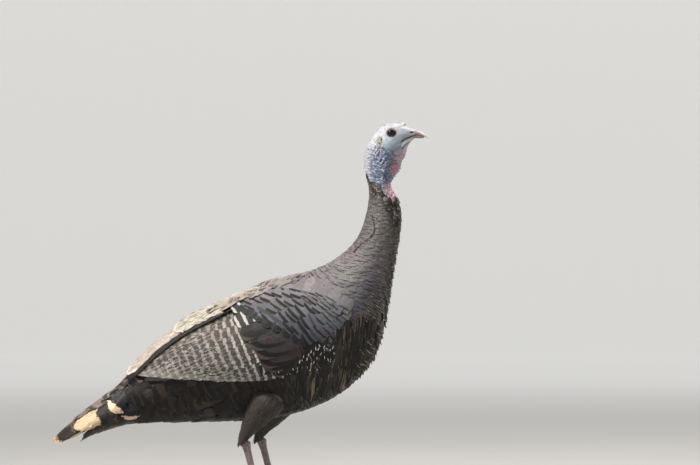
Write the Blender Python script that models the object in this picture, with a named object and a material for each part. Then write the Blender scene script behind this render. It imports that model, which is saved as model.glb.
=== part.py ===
"""A wild turkey hen, life size, standing alert with her neck up and her wings and tail folded.

She faces +X, +Y is her left and +Z is up. The origin is on the floor, under the middle of her outline.
Metres throughout. The body, neck and head are one loft that thin cuts part into named pieces; the folded
wings are shells that lie on it, and the legs, feet, claws, bill, eyes and snood are pieces of their own.
"""

import math

import bmesh
import bpy
from mathutils import Matrix, Vector

# Driving dimensions
GAP = 0.0003  # left between pieces that touch
SIDES = 28  # corners round a section of the body

# The body's sections, from the tail coverts to the root of the bill. Each lies in the plane through a point
# of the back line and a point of the belly line: back x, back z, belly x, belly z, half width.
BODY = [
    (-0.2220, 0.2330, -0.2000, 0.1630, 0.0300),  # 0 end of the tail coverts
    (-0.1900, 0.2660, -0.1580, 0.1650, 0.0410),
    (-0.1450, 0.3120, -0.1080, 0.1660, 0.0560),  # 2 rump
    (-0.0910, 0.3510, -0.0550, 0.1670, 0.0710),
    (-0.0280, 0.3820, 0.0030, 0.1690, 0.0810),  # 4 loin and belly
    (0.0300, 0.4120, 0.0600, 0.1740, 0.0870),
    (0.0840, 0.4300, 0.1220, 0.1900, 0.0890),  # 6 back and keel
    (0.1250, 0.4400, 0.1840, 0.2200, 0.0860),
    (0.1560, 0.4530, 0.2340, 0.2720, 0.0780),  # 8 shoulders and breast
    (0.1790, 0.4670, 0.2560, 0.3230, 0.0650),
    (0.1980, 0.4840, 0.2680, 0.3850, 0.0510),  # 10 foot of the neck
    (0.2120, 0.5020, 0.2780, 0.4520, 0.0405),
    (0.2215, 0.5240, 0.2860, 0.5010, 0.0335),  # 12 feathered neck
    (0.2280, 0.5470, 0.2880, 0.5390, 0.0285),
    (0.2315, 0.5700, 0.2830, 0.5680, 0.0235),  # 14 where the feathers end
    (0.2320, 0.5900, 0.2710, 0.5930, 0.0190),
    (0.2285, 0.6060, 0.2770, 0.6080, 0.0193),  # 16 bare neck and throat fold
    (0.2245, 0.6220, 0.2862, 0.6210, 0.0203),
    (0.2240, 0.6390, 0.2914, 0.6370, 0.0210),  # 18 nape and throat
    (0.2275, 0.6580, 0.2980, 0.6500, 0.0212),
    (0.2360, 0.6760, 0.3015, 0.6625, 0.0210),  # 20 back of the crown and jaw
    (0.2485, 0.6935, 0.3045, 0.6680, 0.0200),
    (0.2635, 0.7040, 0.3068, 0.6715, 0.0178),  # 22 forehead and chin
    (0.2820, 0.7048, 0.3092, 0.6742, 0.0135),
    (0.2985, 0.7000, 0.3122, 0.6765, 0.0093),
    (0.3150, 0.6925, 0.3150, 0.6782, 0.0066),  # 25 root of the bill
]
ROUND_ABOVE = 1.75  # power of the section above its middle: under 2 is like a roof
ROUND_BELOW = 1.9
# Where the body is cut, by section number.
COVERTS_END, TRUNK_BACK, NECK_FOOT, BARE_SKIN, HEAD_BACK, BILL_ROOT = 0.0, 2.2, 9.5, 14.2, 18.6, 25.0
RINGS_PER_SECTION = {"tail_coverts": 3, "trunk": 3, "neck_lower": 3, "neck_upper": 3, "head": 4}

# The folded wings: from the tips to the bend, by section number of the body they lie on.
WING_TIP, WING_SPLIT, WING_BEND = 0.60, 4.35, 7.75
WING_THICK = 0.0120
WING_EDGE = 0.0040  # thickness at the tips and at the bend
WING_INSET = 0.0040  # the shells start this far inside the body, which then cuts them
WING_LOW_EDGE = [  # x, z of the lower edge
    (-0.205, 0.2330), (-0.078, 0.2450), (0.025, 0.2520), (0.120, 0.2560), (0.165, 0.2720), (0.200, 0.3150),
]
WING_TOP_ANGLE = [(WING_TIP, 17), (2.2, 14), (4.4, 20), (6.2, 38), (WING_BEND, 70)]  # degrees from the back
WING_COLUMNS = 10

# The folded tail: ridge x, ridge z, lower edge x, lower edge z, half width.
TAIL = [
    (-0.2225, 0.2290, -0.2020, 0.1625, 0.0340),
    (-0.2575, 0.2045, -0.2380, 0.1530, 0.0410),
    (-0.2920, 0.1770, -0.2740, 0.1390, 0.0460),
    (-0.3190, 0.1550, -0.3030, 0.1250, 0.0450),
    (-0.3370, 0.1365, -0.3240, 0.1200, 0.0350),
]
TAIL_SIDES = 20

# The bill: x, top z, bottom z, half width.
UPPER_BILL = [
    (0.3150, 0.6925, 0.6842, 0.0066),
    (0.3205, 0.6913, 0.6834, 0.0060),
    (0.3260, 0.6893, 0.6824, 0.0050),
    (0.3310, 0.6862, 0.6812, 0.0038),
    (0.3355, 0.6826, 0.6795, 0.0023),
    (0.3386, 0.6797, 0.6782, 0.0010),
]
LOWER_BILL = [
    (0.3150, 0.6834, 0.6783, 0.0058),
    (0.3210, 0.6827, 0.6781, 0.0050),
    (0.3270, 0.6816, 0.6781, 0.0036),
    (0.3315, 0.6804, 0.6785, 0.0017),
]
BILL_SIDES = 16

EYE_RADIUS = 0.0080
EYE_CENTRE = (0.2722, 0.0132, 0.6874)
SNOOD_FOOT, SNOOD_TOP = (0.2915, 0.0, 0.6975), (0.2960, 0.0, 0.7068)
SNOOD_RADIUS = 0.0040

# The legs: the sign of y, x of the hock, x of the ankle.
LEGS = {"right": (-1, 0.010, 0.040), "left": (1, 0.036, 0.068)}
LEG_Y = 0.048
HOCK_Z, ANKLE_Z = 0.138, 0.015
# The feathered thigh's sections: x ahead of the hock, y outward, z, radius.
THIGH = [
    (0.056, -0.008, 0.226, 0.030),
    (0.038, 0.002, 0.204, 0.031),
    (0.016, 0.003, 0.172, 0.021),
    (0.000, 0.000, 0.141, 0.0108),
]
# The shank's sections: share of the way down, half width, half depth.
SHANK = [
    (0.00, 0.0078, 0.0090),
    (0.07, 0.0074, 0.0088),
    (0.16, 0.0054, 0.0064),
    (0.50, 0.0048, 0.0057),
    (0.86, 0.0054, 0.0062),
    (1.00, 0.0070, 0.0064),
]
PAD_HALF_WIDTH, PAD_HALF_LENGTH = 0.0128, 0.0108
# Toes: degrees outward from straight ahead, root's offset outward, length, radius at the root and at the end.
TOES = {
    "inner": (-35, -0.0056, 0.048, 0.0050, 0.0040),
    "middle": (2, 0.0000, 0.066, 0.0054, 0.0042),
    "outer": (36, 0.0056, 0.050, 0.0050, 0.0040),
    "hind": (188, 0.0000, 0.023, 0.0044, 0.0036),
}
TOE_KNUCKLES = {"inner": 2, "middle": 3, "outer": 3, "hind": 1}
TOE_Z = 0.0040  # height of a toe's middle line; the floor cuts a flat sole below it
CLAW_LENGTH = {"inner": 0.012, "middle": 0.014, "outer": 0.012, "hind": 0.011}
CLAW_RADIUS = 0.0030

COLOURS = {  # red, green, blue, roughness
    "feathers": (0.115, 0.090, 0.075, 0.75),
    "flight_feathers": (0.165, 0.140, 0.115, 0.70),
    "tail_feathers": (0.150, 0.085, 0.050, 0.70),
    "bare_skin": (0.420, 0.470, 0.540, 0.60),
    "snood": (0.500, 0.450, 0.470, 0.60),
    "horn": (0.560, 0.470, 0.400, 0.40),
    "eye": (0.020, 0.010, 0.008, 0.08),
    "legs": (0.300, 0.210, 0.190, 0.60),
    "claws": (0.055, 0.045, 0.040, 0.45),
}


def empty_scene():
    for obj in list(bpy.data.objects):
        bpy.data.objects.remove(obj, do_unlink=True)


def collection(name, hidden=False):
    made = bpy.data.collections.new(name)
    bpy.context.scene.collection.children.link(made)
    made.hide_render = hidden
    return made


def material(name):
    red, green, blue, roughness = COLOURS[name]
    made = bpy.data.materials.get(name) or bpy.data.materials.new(name)
    made.use_nodes = True
    shader = made.node_tree.nodes["Principled BSDF"]
    shader.inputs["Base Color"].default_value = (red, green, blue, 1)
    shader.inputs["Roughness"].default_value = roughness
    return made


def between(points, at):
    """A smooth curve (Catmull-Rom) through equally spaced tuples, read at a fractional index."""
    last = len(points) - 1
    at = min(max(at, 0.0), float(last))
    i = min(int(at), last - 1)
    t = at - i
    a, b, c, d = (points[min(max(k, 0), last)] for k in (i - 1, i, i + 1, i + 2))
    return tuple(
        0.5 * (2 * q + (r - p) * t + (2 * p - 5 * q + 4 * r - s) * t * t + (3 * q - p - 3 * r + s) * t**3)
        for p, q, r, s in zip(a, b, c, d)
    )


def read_line(pairs, x):
    """The value at x of a line through (x, value) pairs."""
    if x <= pairs[0][0]:
        return pairs[0][1]
    for (x0, v0), (x1, v1) in zip(pairs, pairs[1:]):
        if x <= x1:
            return v0 + (v1 - v0) * (x - x0) / (x1 - x0)
    return pairs[-1][1]


def body_point(at, angle, lift=0.0):
    """A point on the body at a section number, at an angle from the back line (radians, towards +Y), lifted outward."""
    back_x, back_z, belly_x, belly_z, half_width = between(BODY, at)
    back, belly = Vector((back_x, 0, back_z)), Vector((belly_x, 0, belly_z))
    up = back - belly
    half_height = up.length / 2
    up.normalize()
    c, s = math.cos(angle), math.sin(angle)
    power = 2 / (ROUND_ABOVE if c > 0 else ROUND_BELOW)
    return (
        (back + belly) / 2
        + up * math.copysign(abs(c) ** power, c) * (half_height + lift)
        + Vector((0, math.copysign(abs(s) ** power, s) * (half_width + lift), 0))
    )


def loft(rings):
    """A closed mesh through rings of points, each ring capped flat at the ends."""
    mesh = bpy.data.meshes.new("loft")
    made = bmesh.new()
    loops = [[made.verts.new(p) for p in ring] for ring in rings]
    for a, b in zip(loops, loops[1:]):
        for i in range(len(a)):
            j = (i + 1) % len(a)
            made.faces.new((a[i], a[j], b[j], b[i]))
    made.faces.new(loops[0][::-1])
    made.faces.new(loops[-1])
    bmesh.ops.recalc_face_normals(made, faces=made.faces)
    made.to_mesh(mesh)
    made.free()
    return mesh


def add(name, mesh, slot, group):
    mesh.name = name
    mesh.materials.clear()
    mesh.materials.append(material(slot))
    mesh.shade_smooth()
    mesh.set_sharp_from_angle(angle=math.radians(50))
    obj = bpy.data.objects.new(name, mesh)
    group.objects.link(obj)
    return obj


def cutter(name, mesh, group):
    obj = bpy.data.objects.new(name, mesh)
    group.objects.link(obj)
    obj.hide_render = True
    obj.display_type = "WIRE"
    return obj


def boolean(obj, other, operation="DIFFERENCE"):
    step = obj.modifiers.new(f"{operation.lower()}_{other.name}", "BOOLEAN")
    step.operation = operation
    step.object = other
    step.solver = "EXACT"


def span(start, end, count):
    return [start + (end - start) * i / count for i in range(count + 1)]


def body_rings(start, end, per_section, lift=0.0):
    count = max(2, round((end - start) * per_section))
    angles = [2 * math.pi * i / SIDES for i in range(SIDES)]
    return [[body_point(at, angle, lift) for angle in angles] for at in span(start, end, count)]


def section_gap(at):
    """How far along the section numbers a cut has to stand back at each side, to leave GAP at its narrowest."""
    step = 0.05
    nearest = min(
        (body_point(at + step, angle) - body_point(at - step, angle)).length for angle in (0, math.pi)
    )
    return GAP / 2 * (2 * step / nearest)


def make_body(parts, cutters):
    spans = {
        "tail_coverts": (COVERTS_END, TRUNK_BACK, "feathers"),
        "trunk": (TRUNK_BACK, NECK_FOOT, "feathers"),
        "neck_lower": (NECK_FOOT, BARE_SKIN, "feathers"),
        "neck_upper": (BARE_SKIN, HEAD_BACK, "bare_skin"),
        "head": (HEAD_BACK, BILL_ROOT, "bare_skin"),
    }
    made = {}
    for name, (start, end, slot) in spans.items():
        start += section_gap(start) if start > COVERTS_END else 0
        end -= section_gap(end) if end < BILL_ROOT else 0
        made[name] = add(name, loft(body_rings(start, end, RINGS_PER_SECTION[name])), slot, parts)
    for side, sign in (("left", 1), ("right", -1)):
        centre = (EYE_CENTRE[0], sign * EYE_CENTRE[1], EYE_CENTRE[2])
        socket = cutter(f"socket_{side}", ball(EYE_RADIUS + GAP), cutters)
        socket.location = centre
        boolean(made["head"], socket)
        add(f"eye_{side}", ball(EYE_RADIUS), "eye", parts).location = centre


def ball(radius):
    """A sphere whose poles face out to the sides."""
    mesh = bpy.data.meshes.new("ball")
    made = bmesh.new()
    bmesh.ops.create_uvsphere(made, u_segments=18, v_segments=12, radius=radius)
    bmesh.ops.rotate(made, verts=made.verts, matrix=Matrix.Rotation(math.pi / 2, 3, "X"))
    made.to_mesh(mesh)
    made.free()
    return mesh


def make_snood(parts, cutters):
    """A fleshy peg on the forehead, cut to the curve of the head."""
    foot, top = Vector(SNOOD_FOOT), Vector(SNOOD_TOP)
    shares = [(0.0, 1.0), (0.35, 0.95), (0.65, 0.75), (0.88, 0.48), (1.0, 0.2)]
    rings = [tube_ring(foot.lerp(top, along), top - foot, SNOOD_RADIUS * wide, SNOOD_RADIUS * wide, 14)
             for along, wide in shares]
    snood = add("snood", loft(rings), "snood", parts)
    boolean(snood, cutter("head_allowance", loft(body_rings(HEAD_BACK, BILL_ROOT, 4, GAP)), cutters))


def make_bill(parts):
    for name, sections in (("bill_upper", UPPER_BILL), ("bill_lower", LOWER_BILL)):
        rings = []
        for at in span(0, len(sections) - 1, 3 * (len(sections) - 1)):
            x, top, bottom, half_width = between(sections, at)
            # The root stands clear of the head, and the tip of the upper half hooks down.
            x = max(x, BODY[-1][2] + GAP)
            middle, half = (top + bottom) / 2, (top - bottom) / 2
            rings.append([
                Vector((x, half_width * math.sin(a), middle + half * math.cos(a)))
                for a in (2 * math.pi * i / BILL_SIDES for i in range(BILL_SIDES))
            ])
        add(name, loft(rings[:1] + rings[2:]), "horn", parts)


def wing_low_angle(at):
    """The angle at which the wing's lower edge crosses this section."""
    steps = 240
    for i in range(steps // 4, steps):
        angle = math.pi * i / steps
        point = body_point(at, angle)
        if point.z < read_line(WING_LOW_EDGE, point.x):
            return angle
    return math.pi * 0.9


def wing_thickness(at):
    """Full over the arm, thin at the tips, and rounded down to the bend."""
    to_tip = min(1.0, 0.45 + 0.55 * (at - WING_TIP) / (WING_SPLIT - WING_TIP))
    to_bend = max(0.0, (at - (WING_BEND - 1.6)) / 1.6)
    return WING_EDGE + (WING_THICK - WING_EDGE) * to_tip * math.sqrt(max(0.0, 1 - to_bend**2))


def wing_ring(at, sign):
    """A shell's section: out along the outer face, back along a face sunk into the body."""
    top = math.radians(read_line(WING_TOP_ANGLE, at))
    thick = wing_thickness(at)
    angles = span(top, wing_low_angle(at), WING_COLUMNS)
    outer = []
    for i, angle in enumerate(angles):
        swell = 0.60 + 0.40 * math.sin(math.pi * min(1.0, 1.1 * i / WING_COLUMNS)) ** 0.6
        outer.append(body_point(at, sign * angle, GAP + thick * swell))
    return outer + [body_point(at, sign * angle, -WING_INSET) for angle in reversed(angles)]


def make_wings(parts, cutters):
    for side, sign in (("left", 1), ("right", -1)):
        halves = {
            f"wing_flight_{side}": (WING_TIP, WING_SPLIT - section_gap(WING_SPLIT), 11, "flight_feathers"),
            f"wing_coverts_{side}": (WING_SPLIT + section_gap(WING_SPLIT), WING_BEND, 10, "feathers"),
        }
        for name, (start, end, count, slot) in halves.items():
            half = add(name, loft([wing_ring(at, sign) for at in span(start, end, count)]), slot, parts)
            boolean(half, cutters.objects["trunk_allowance"])


def make_tail(parts):
    """The closed tail: a roof of long feathers over the undertail coverts."""
    rings = []
    for at in span(0, len(TAIL) - 1, 3 * (len(TAIL) - 1)):
        ridge_x, ridge_z, edge_x, edge_z, half_width = between(TAIL, at)
        ridge, edge = Vector((ridge_x, 0, ridge_z)), Vector((edge_x, 0, edge_z))
        rings.append([
            (ridge + edge) / 2 + (ridge - edge) / 2 * math.cos(a)
            + Vector((0, half_width * math.sin(a) * (1 - 0.22 * math.cos(a)), 0))
            for a in (2 * math.pi * i / TAIL_SIDES for i in range(TAIL_SIDES))
        ])
    add("tail", loft(rings), "tail_feathers", parts)


def tube_ring(centre, along, half_width, half_depth, sides):
    """An ellipse across a limb: its width is level and its depth lies in the limb's own upright plane."""
    along = Vector(along).normalized()
    across = Vector((0, 1, 0)) - along * along.y
    across.normalize()
    deep = along.cross(across)
    return [
        Vector(centre) + across * half_width * math.cos(a) + deep * half_depth * math.sin(a)
        for a in (2 * math.pi * i / sides for i in range(sides))
    ]


def make_legs(parts, cutters):
    for side, (sign, hock_x, ankle_x) in LEGS.items():
        hock = Vector((hock_x, sign * LEG_Y, HOCK_Z))
        ankle = Vector((ankle_x, sign * LEG_Y, ANKLE_Z))
        down = ankle - hock
        sections = [(hock_x + ahead, sign * (LEG_Y + out), z, radius) for ahead, out, z, radius in THIGH]
        rings = []
        for at in span(0, len(sections) - 1, 3 * (len(sections) - 1)):
            x, y, z, radius = between(sections, at)
            lean = Vector((-0.62, 0, -0.78)).lerp(down.normalized(), max(0.0, at - 2))
            rings.append(tube_ring((x, y, z), lean, radius, radius, 14))
        thigh = add(f"thigh_{side}", loft(rings), "feathers", parts)
        boolean(thigh, cutters.objects["trunk_allowance"])
        # The shank meets the thigh on a flat across its own line.
        rings = []
        for at in span(0, len(SHANK) - 1, 2 * (len(SHANK) - 1)):
            share, half_width, half_depth = between(SHANK, at)
            rings.append(tube_ring(hock + down * share, down, half_width, half_depth, 12))
        shank = add(f"shank_{side}", loft(rings), "legs", parts)
        make_foot(side, sign, ankle, down, parts, cutters)
        boolean(shank, cutters.objects[f"foot_allowance_{side}"])
        boolean(thigh, cutters.objects[f"shank_allowance_{side}"])


def toe_rings(root, ahead, name):
    """Rings along one toe, swollen at its knuckles."""
    _, _, length, thick, thin = TOES[name]
    rings = []
    for share in span(0, 1, 4 * TOE_KNUCKLES[name] + 1):
        knuckle = 1 + 0.10 * math.cos(2 * math.pi * TOE_KNUCKLES[name] * (share - 1))
        radius = (thick + (thin - thick) * share) * knuckle
        rings.append(tube_ring(root + ahead * length * share, ahead, radius, radius, 10))
    return rings


def pad_mesh(ankle, down, grow):
    """The pad the toes spread from, up to the foot of the shank."""
    middle = Vector((ankle.x + 0.004, ankle.y, 0))
    levels = [(0.0, 0.96), (0.0045, 1.0), (0.0085, 0.93)]
    rings = [tube_ring(ankle - down.normalized() * (0.003 + grow), -down, 0.0076 + grow, 0.0070 + grow, 14)]
    for height, share in reversed(levels):
        rings.append([
            middle + Vector((
                -(PAD_HALF_LENGTH * share + grow) * math.sin(a),
                (PAD_HALF_WIDTH * share + grow) * math.cos(a),
                height - (0.002 if grow and not height else 0),
            ))
            for a in (2 * math.pi * i / 14 for i in range(14))
        ])
    return loft(rings)


def make_foot(side, sign, ankle, down, parts, cutters):
    """Four toes round a pad, with flat soles on the floor, and a claw on each toe."""
    add(f"foot_{side}", pad_mesh(ankle, down, 0.0), "legs", parts)
    allowance = cutter(f"foot_allowance_{side}", pad_mesh(ankle, down, GAP), cutters)
    for name, (angle, offset, *_) in TOES.items():
        turn = math.radians(angle)
        ahead = Vector((math.cos(turn), sign * math.sin(turn), 0))
        root = Vector((ankle.x + 0.004, ankle.y + sign * offset, TOE_Z))
        toe = add(f"toe_{side}_{name}", loft(toe_rings(root, ahead, name)), "legs", parts)
        boolean(toe, allowance)
        boolean(toe, cutters.objects["floor"])
        make_claw(f"claw_{side}_{name}", root, ahead, name, parts)


def make_claw(name, root, ahead, toe, parts):
    """A claw that grows on from the toe and curves down to just above the floor."""
    length, reach = TOES[toe][2], CLAW_LENGTH[toe]
    rings = []
    for share in span(0, 1, 5):
        drop = 0.0026 * share**1.6
        radius = CLAW_RADIUS * (1 - 0.80 * share**1.25)
        centre = root + ahead * (length + GAP + reach * share) - Vector((0, 0, drop))
        centre.z = max(centre.z, radius + GAP)
        rings.append(tube_ring(centre, ahead, radius * 0.85, radius, 8))
    add(name, loft(rings), "claws", parts)


def shank_cutter(side, cutters):
    """The shank's own top, grown by the gap, which the thigh is hollowed to take."""
    sign, hock_x, ankle_x = LEGS[side]
    hock = Vector((hock_x, sign * LEG_Y, HOCK_Z))
    down = Vector((ankle_x, sign * LEG_Y, ANKLE_Z)) - hock
    rings = []
    for at in span(0, 2, 4):
        share, half_width, half_depth = between(SHANK, at)
        place = hock + down * share - (down.normalized() * GAP if at == 0 else Vector())
        rings.append(tube_ring(place, down, half_width + GAP, half_depth + GAP, 12))
    cutter(f"shank_allowance_{side}", loft(rings), cutters)


def floor_cutter(cutters):
    mesh = bpy.data.meshes.new("floor")
    made = bmesh.new()
    bmesh.ops.create_cube(made, size=1.0)
    made.to_mesh(mesh)
    made.free()
    cutter("floor", mesh, cutters).location = (0, 0, -0.5)


def centre_over_origin(parts):
    """Moves the bird so that the middle of her length is over the origin."""
    bpy.context.view_layer.update()
    graph = bpy.context.evaluated_depsgraph_get()
    xs = [(obj.matrix_world @ Vector(corner)).x
          for obj in parts.objects
          for corner in obj.evaluated_get(graph).bound_box]
    shift = -(min(xs) + max(xs)) / 2
    for obj in bpy.data.objects:
        obj.location.x += shift


def main():
    empty_scene()
    parts = collection("wild_turkey_hen")
    cutters = collection("cutters", hidden=True)
    floor_cutter(cutters)
    cutter("trunk_allowance", loft(body_rings(COVERTS_END, NECK_FOOT, 3, GAP)), cutters)
    for side in LEGS:
        shank_cutter(side, cutters)
    make_body(parts, cutters)
    make_snood(parts, cutters)
    make_bill(parts)
    make_wings(parts, cutters)
    make_tail(parts)
    make_legs(parts, cutters)
    centre_over_origin(parts)


main()
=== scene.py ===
"""Dresses the wild turkey hen: one skin over the flesh, and solid vanes for every feather.

The body's own section table is repeated here, so that skin and feathers lie on the surface the solids have.
A point on the body is named by a section number and a turn: 0 on the back line, 0.25 on her left side,
0.5 on the belly line and 0.75 on her right. Sections 0 to 3 hold the rump, 3 to 7 the back and belly, 7 to 9
the breast, 9 to 15 the feathered neck, 15 to 19 the bare neck, and 19 to 25 the head up to the bill.
Places of the side view are x and z before the shift.
"""

import itertools
import math

import bmesh
import bpy
import numpy as np
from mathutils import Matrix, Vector


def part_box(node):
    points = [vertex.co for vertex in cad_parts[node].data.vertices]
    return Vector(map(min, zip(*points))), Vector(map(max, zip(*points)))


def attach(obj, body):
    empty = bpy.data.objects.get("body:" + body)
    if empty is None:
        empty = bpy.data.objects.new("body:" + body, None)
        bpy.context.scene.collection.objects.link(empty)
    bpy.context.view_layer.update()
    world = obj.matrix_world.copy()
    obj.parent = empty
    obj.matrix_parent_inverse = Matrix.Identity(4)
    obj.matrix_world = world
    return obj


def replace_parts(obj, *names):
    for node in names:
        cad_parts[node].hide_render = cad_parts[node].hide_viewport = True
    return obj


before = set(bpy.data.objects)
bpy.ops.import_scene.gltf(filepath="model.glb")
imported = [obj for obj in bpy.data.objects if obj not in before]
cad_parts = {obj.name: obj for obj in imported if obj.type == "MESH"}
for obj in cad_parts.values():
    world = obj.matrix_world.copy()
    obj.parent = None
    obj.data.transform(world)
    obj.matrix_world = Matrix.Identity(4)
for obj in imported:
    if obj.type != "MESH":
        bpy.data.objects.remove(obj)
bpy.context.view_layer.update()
RNG = np.random.default_rng(11)

# back x, back z, belly x, belly z, half width of each section, tail coverts to bill root
BODY = np.array([
    (-0.222, 0.233, -0.2, 0.163, 0.03),
    (-0.19, 0.266, -0.158, 0.165, 0.041),
    (-0.145, 0.312, -0.108, 0.166, 0.056),
    (-0.091, 0.351, -0.055, 0.167, 0.071),
    (-0.028, 0.382, 0.003, 0.169, 0.081),
    (0.03, 0.412, 0.06, 0.174, 0.087),
    (0.084, 0.43, 0.122, 0.19, 0.089),
    (0.125, 0.44, 0.184, 0.22, 0.086),
    (0.156, 0.453, 0.234, 0.272, 0.078),
    (0.179, 0.467, 0.256, 0.323, 0.065),
    (0.198, 0.484, 0.268, 0.385, 0.051),
    (0.212, 0.502, 0.278, 0.452, 0.0405),
    (0.2215, 0.524, 0.286, 0.501, 0.0335),
    (0.228, 0.547, 0.288, 0.539, 0.0285),
    (0.2315, 0.57, 0.283, 0.568, 0.0235),
    (0.232, 0.59, 0.271, 0.593, 0.019),
    (0.2285, 0.606, 0.277, 0.608, 0.0193),
    (0.2245, 0.622, 0.2862, 0.621, 0.0203),
    (0.224, 0.639, 0.2914, 0.637, 0.021),
    (0.2275, 0.658, 0.298, 0.65, 0.0212),
    (0.236, 0.676, 0.3015, 0.6625, 0.021),
    (0.2485, 0.6935, 0.3045, 0.668, 0.02),
    (0.2635, 0.704, 0.3068, 0.6715, 0.0178),
    (0.282, 0.7048, 0.3092, 0.6742, 0.0135),
    (0.2985, 0.7, 0.3122, 0.6765, 0.0093),
    (0.315, 0.6925, 0.315, 0.6782, 0.0066),
])
TAIL = np.array([
    (-0.2225, 0.229, -0.202, 0.1625, 0.034),
    (-0.2575, 0.2045, -0.238, 0.153, 0.041),
    (-0.292, 0.177, -0.274, 0.139, 0.046),
    (-0.319, 0.155, -0.303, 0.125, 0.045),
    (-0.337, 0.1365, -0.324, 0.12, 0.035),
])
ROUND_ABOVE, ROUND_BELOW = 1.75, 1.9
WING_TIP, WING_SPLIT, WING_BEND = 0.6, 4.35, 7.75
WING_THICK, WING_EDGE, BEND_REACH = 0.012, 0.004, 1.6
# How far along x the frame, where the outline is centred, lies from these tables; read at the bill tip.
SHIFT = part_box("bill_upper")[1][0] - 0.3386
EYE = np.array([0.2722 + SHIFT, 0.0132, 0.6874])
MIRROR = np.array([1.0, -1.0, 1.0])
# A distance larger than any on the bird, for what is not near at all.
FAR = 9.0
RING_ANGLE = np.linspace(0, 2 * np.pi, 1441)


# --- small maths -------------------------------------------------------------------------------------------

def between(table, at):
    """Catmull-Rom through equally spaced rows, read at fractional indices."""
    last = len(table) - 1
    at = np.clip(at, 0, last)
    i = np.minimum(at.astype(int), last - 1)
    t = (at - i)[:, None]
    a, b, c, d = (table[np.clip(i + k, 0, last)] for k in (-1, 0, 1, 2))
    return 0.5 * (2 * b + (c - a) * t + (2 * a - 5 * b + 4 * c - d) * t**2 + (3 * b - a - 3 * c + d) * t**3)


def smooth(lo, hi, x):
    t = np.clip((x - lo) / (hi - lo), 0, 1)
    return t * t * (3 - 2 * t)


def unit(v):
    return v / np.maximum(np.linalg.norm(v, axis=-1, keepdims=True), 1e-12)


def lerp(a, b, t):
    return a + (b - a) * t


def per(value, *shape):
    return np.broadcast_to(np.asarray(value, dtype=float), shape).copy()


def from_back(t):
    """A turn on either side, as 0 on the back line to 0.5 on the belly line."""
    return np.minimum(t, 1 - t)


def signed_power(x, power):
    return np.sign(x) * np.abs(x)**power


def off(x, z, cx, cz, wide=1.0, high=1.0):
    """How far side-view points are from a spot, in its half sizes."""
    return np.hypot((x - cx) / wide, (z - cz) / high)


def path(share, stops, *values):
    """Values that change from stop to stop, as columns."""
    return np.stack([np.interp(share, stops, v) for v in values], -1)


def hash3(cell, salt=0):
    """Three even random numbers for each whole-number cell."""
    h = (cell[:, 0] * 73856093) ^ (cell[:, 1] * 19349663) ^ (cell[:, 2] * 83492791) ^ (salt * 2654435761)
    h = h.astype(np.uint64)
    out = []
    for k in range(3):
        h = (h ^ (h >> np.uint64(13))) * np.uint64(1274126177 + 2 * k)
        h = h & np.uint64(0xFFFFFFFF)
        out.append((h % np.uint64(65521)).astype(float) / 65521)
    return np.stack(out, -1)


def cells(p, size, salt=0):
    """Distance to the nearest and second nearest scattered point, in cells."""
    q = p / size
    base = np.floor(q).astype(np.int64)
    first = second = np.full(len(q), FAR)
    for step in itertools.product((-1, 0, 1), repeat=3):
        c = base + np.array(step)
        d = np.linalg.norm(q - c - hash3(c, salt), axis=1)
        second = np.where(d < first, first, np.minimum(second, d))
        first = np.minimum(first, d)
    return first, second


def wavy(p, size, salt=0):
    """Smooth value noise in -1..1."""
    q = p / size
    base = np.floor(q).astype(np.int64)
    f = smooth(0, 1, q - base)
    total = 0
    for step in itertools.product((0, 1), repeat=3):
        total = total + np.where(step, f, 1 - f).prod(axis=1) * hash3(base + np.array(step), salt)[:, 0]
    return total * 2 - 1


def to_line(x, z, line):
    """Distance from side-view points to a polyline, and the share of the way along it."""
    best = np.full(len(x), FAR)
    share = np.zeros(len(x))
    for k, ((x0, z0), (x1, z1)) in enumerate(zip(line, line[1:])):
        dx, dz = x1 - x0, z1 - z0
        t = np.clip(((x - x0) * dx + (z - z0) * dz) / (dx * dx + dz * dz), 0, 1)
        d = np.hypot(x - x0 - t * dx, z - z0 - t * dz)
        share = np.where(d < best, (k + t) / (len(line) - 1), share)
        best = np.minimum(best, d)
    return best, share


# --- surfaces ----------------------------------------------------------------------------------------------

def ring_lengths(rings):
    """The length of each ring up to each of its points."""
    steps = np.linalg.norm(np.diff(rings, axis=1), axis=2)
    return np.concatenate([np.zeros((len(rings), 1)), np.cumsum(steps, axis=1)], axis=1)


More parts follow.
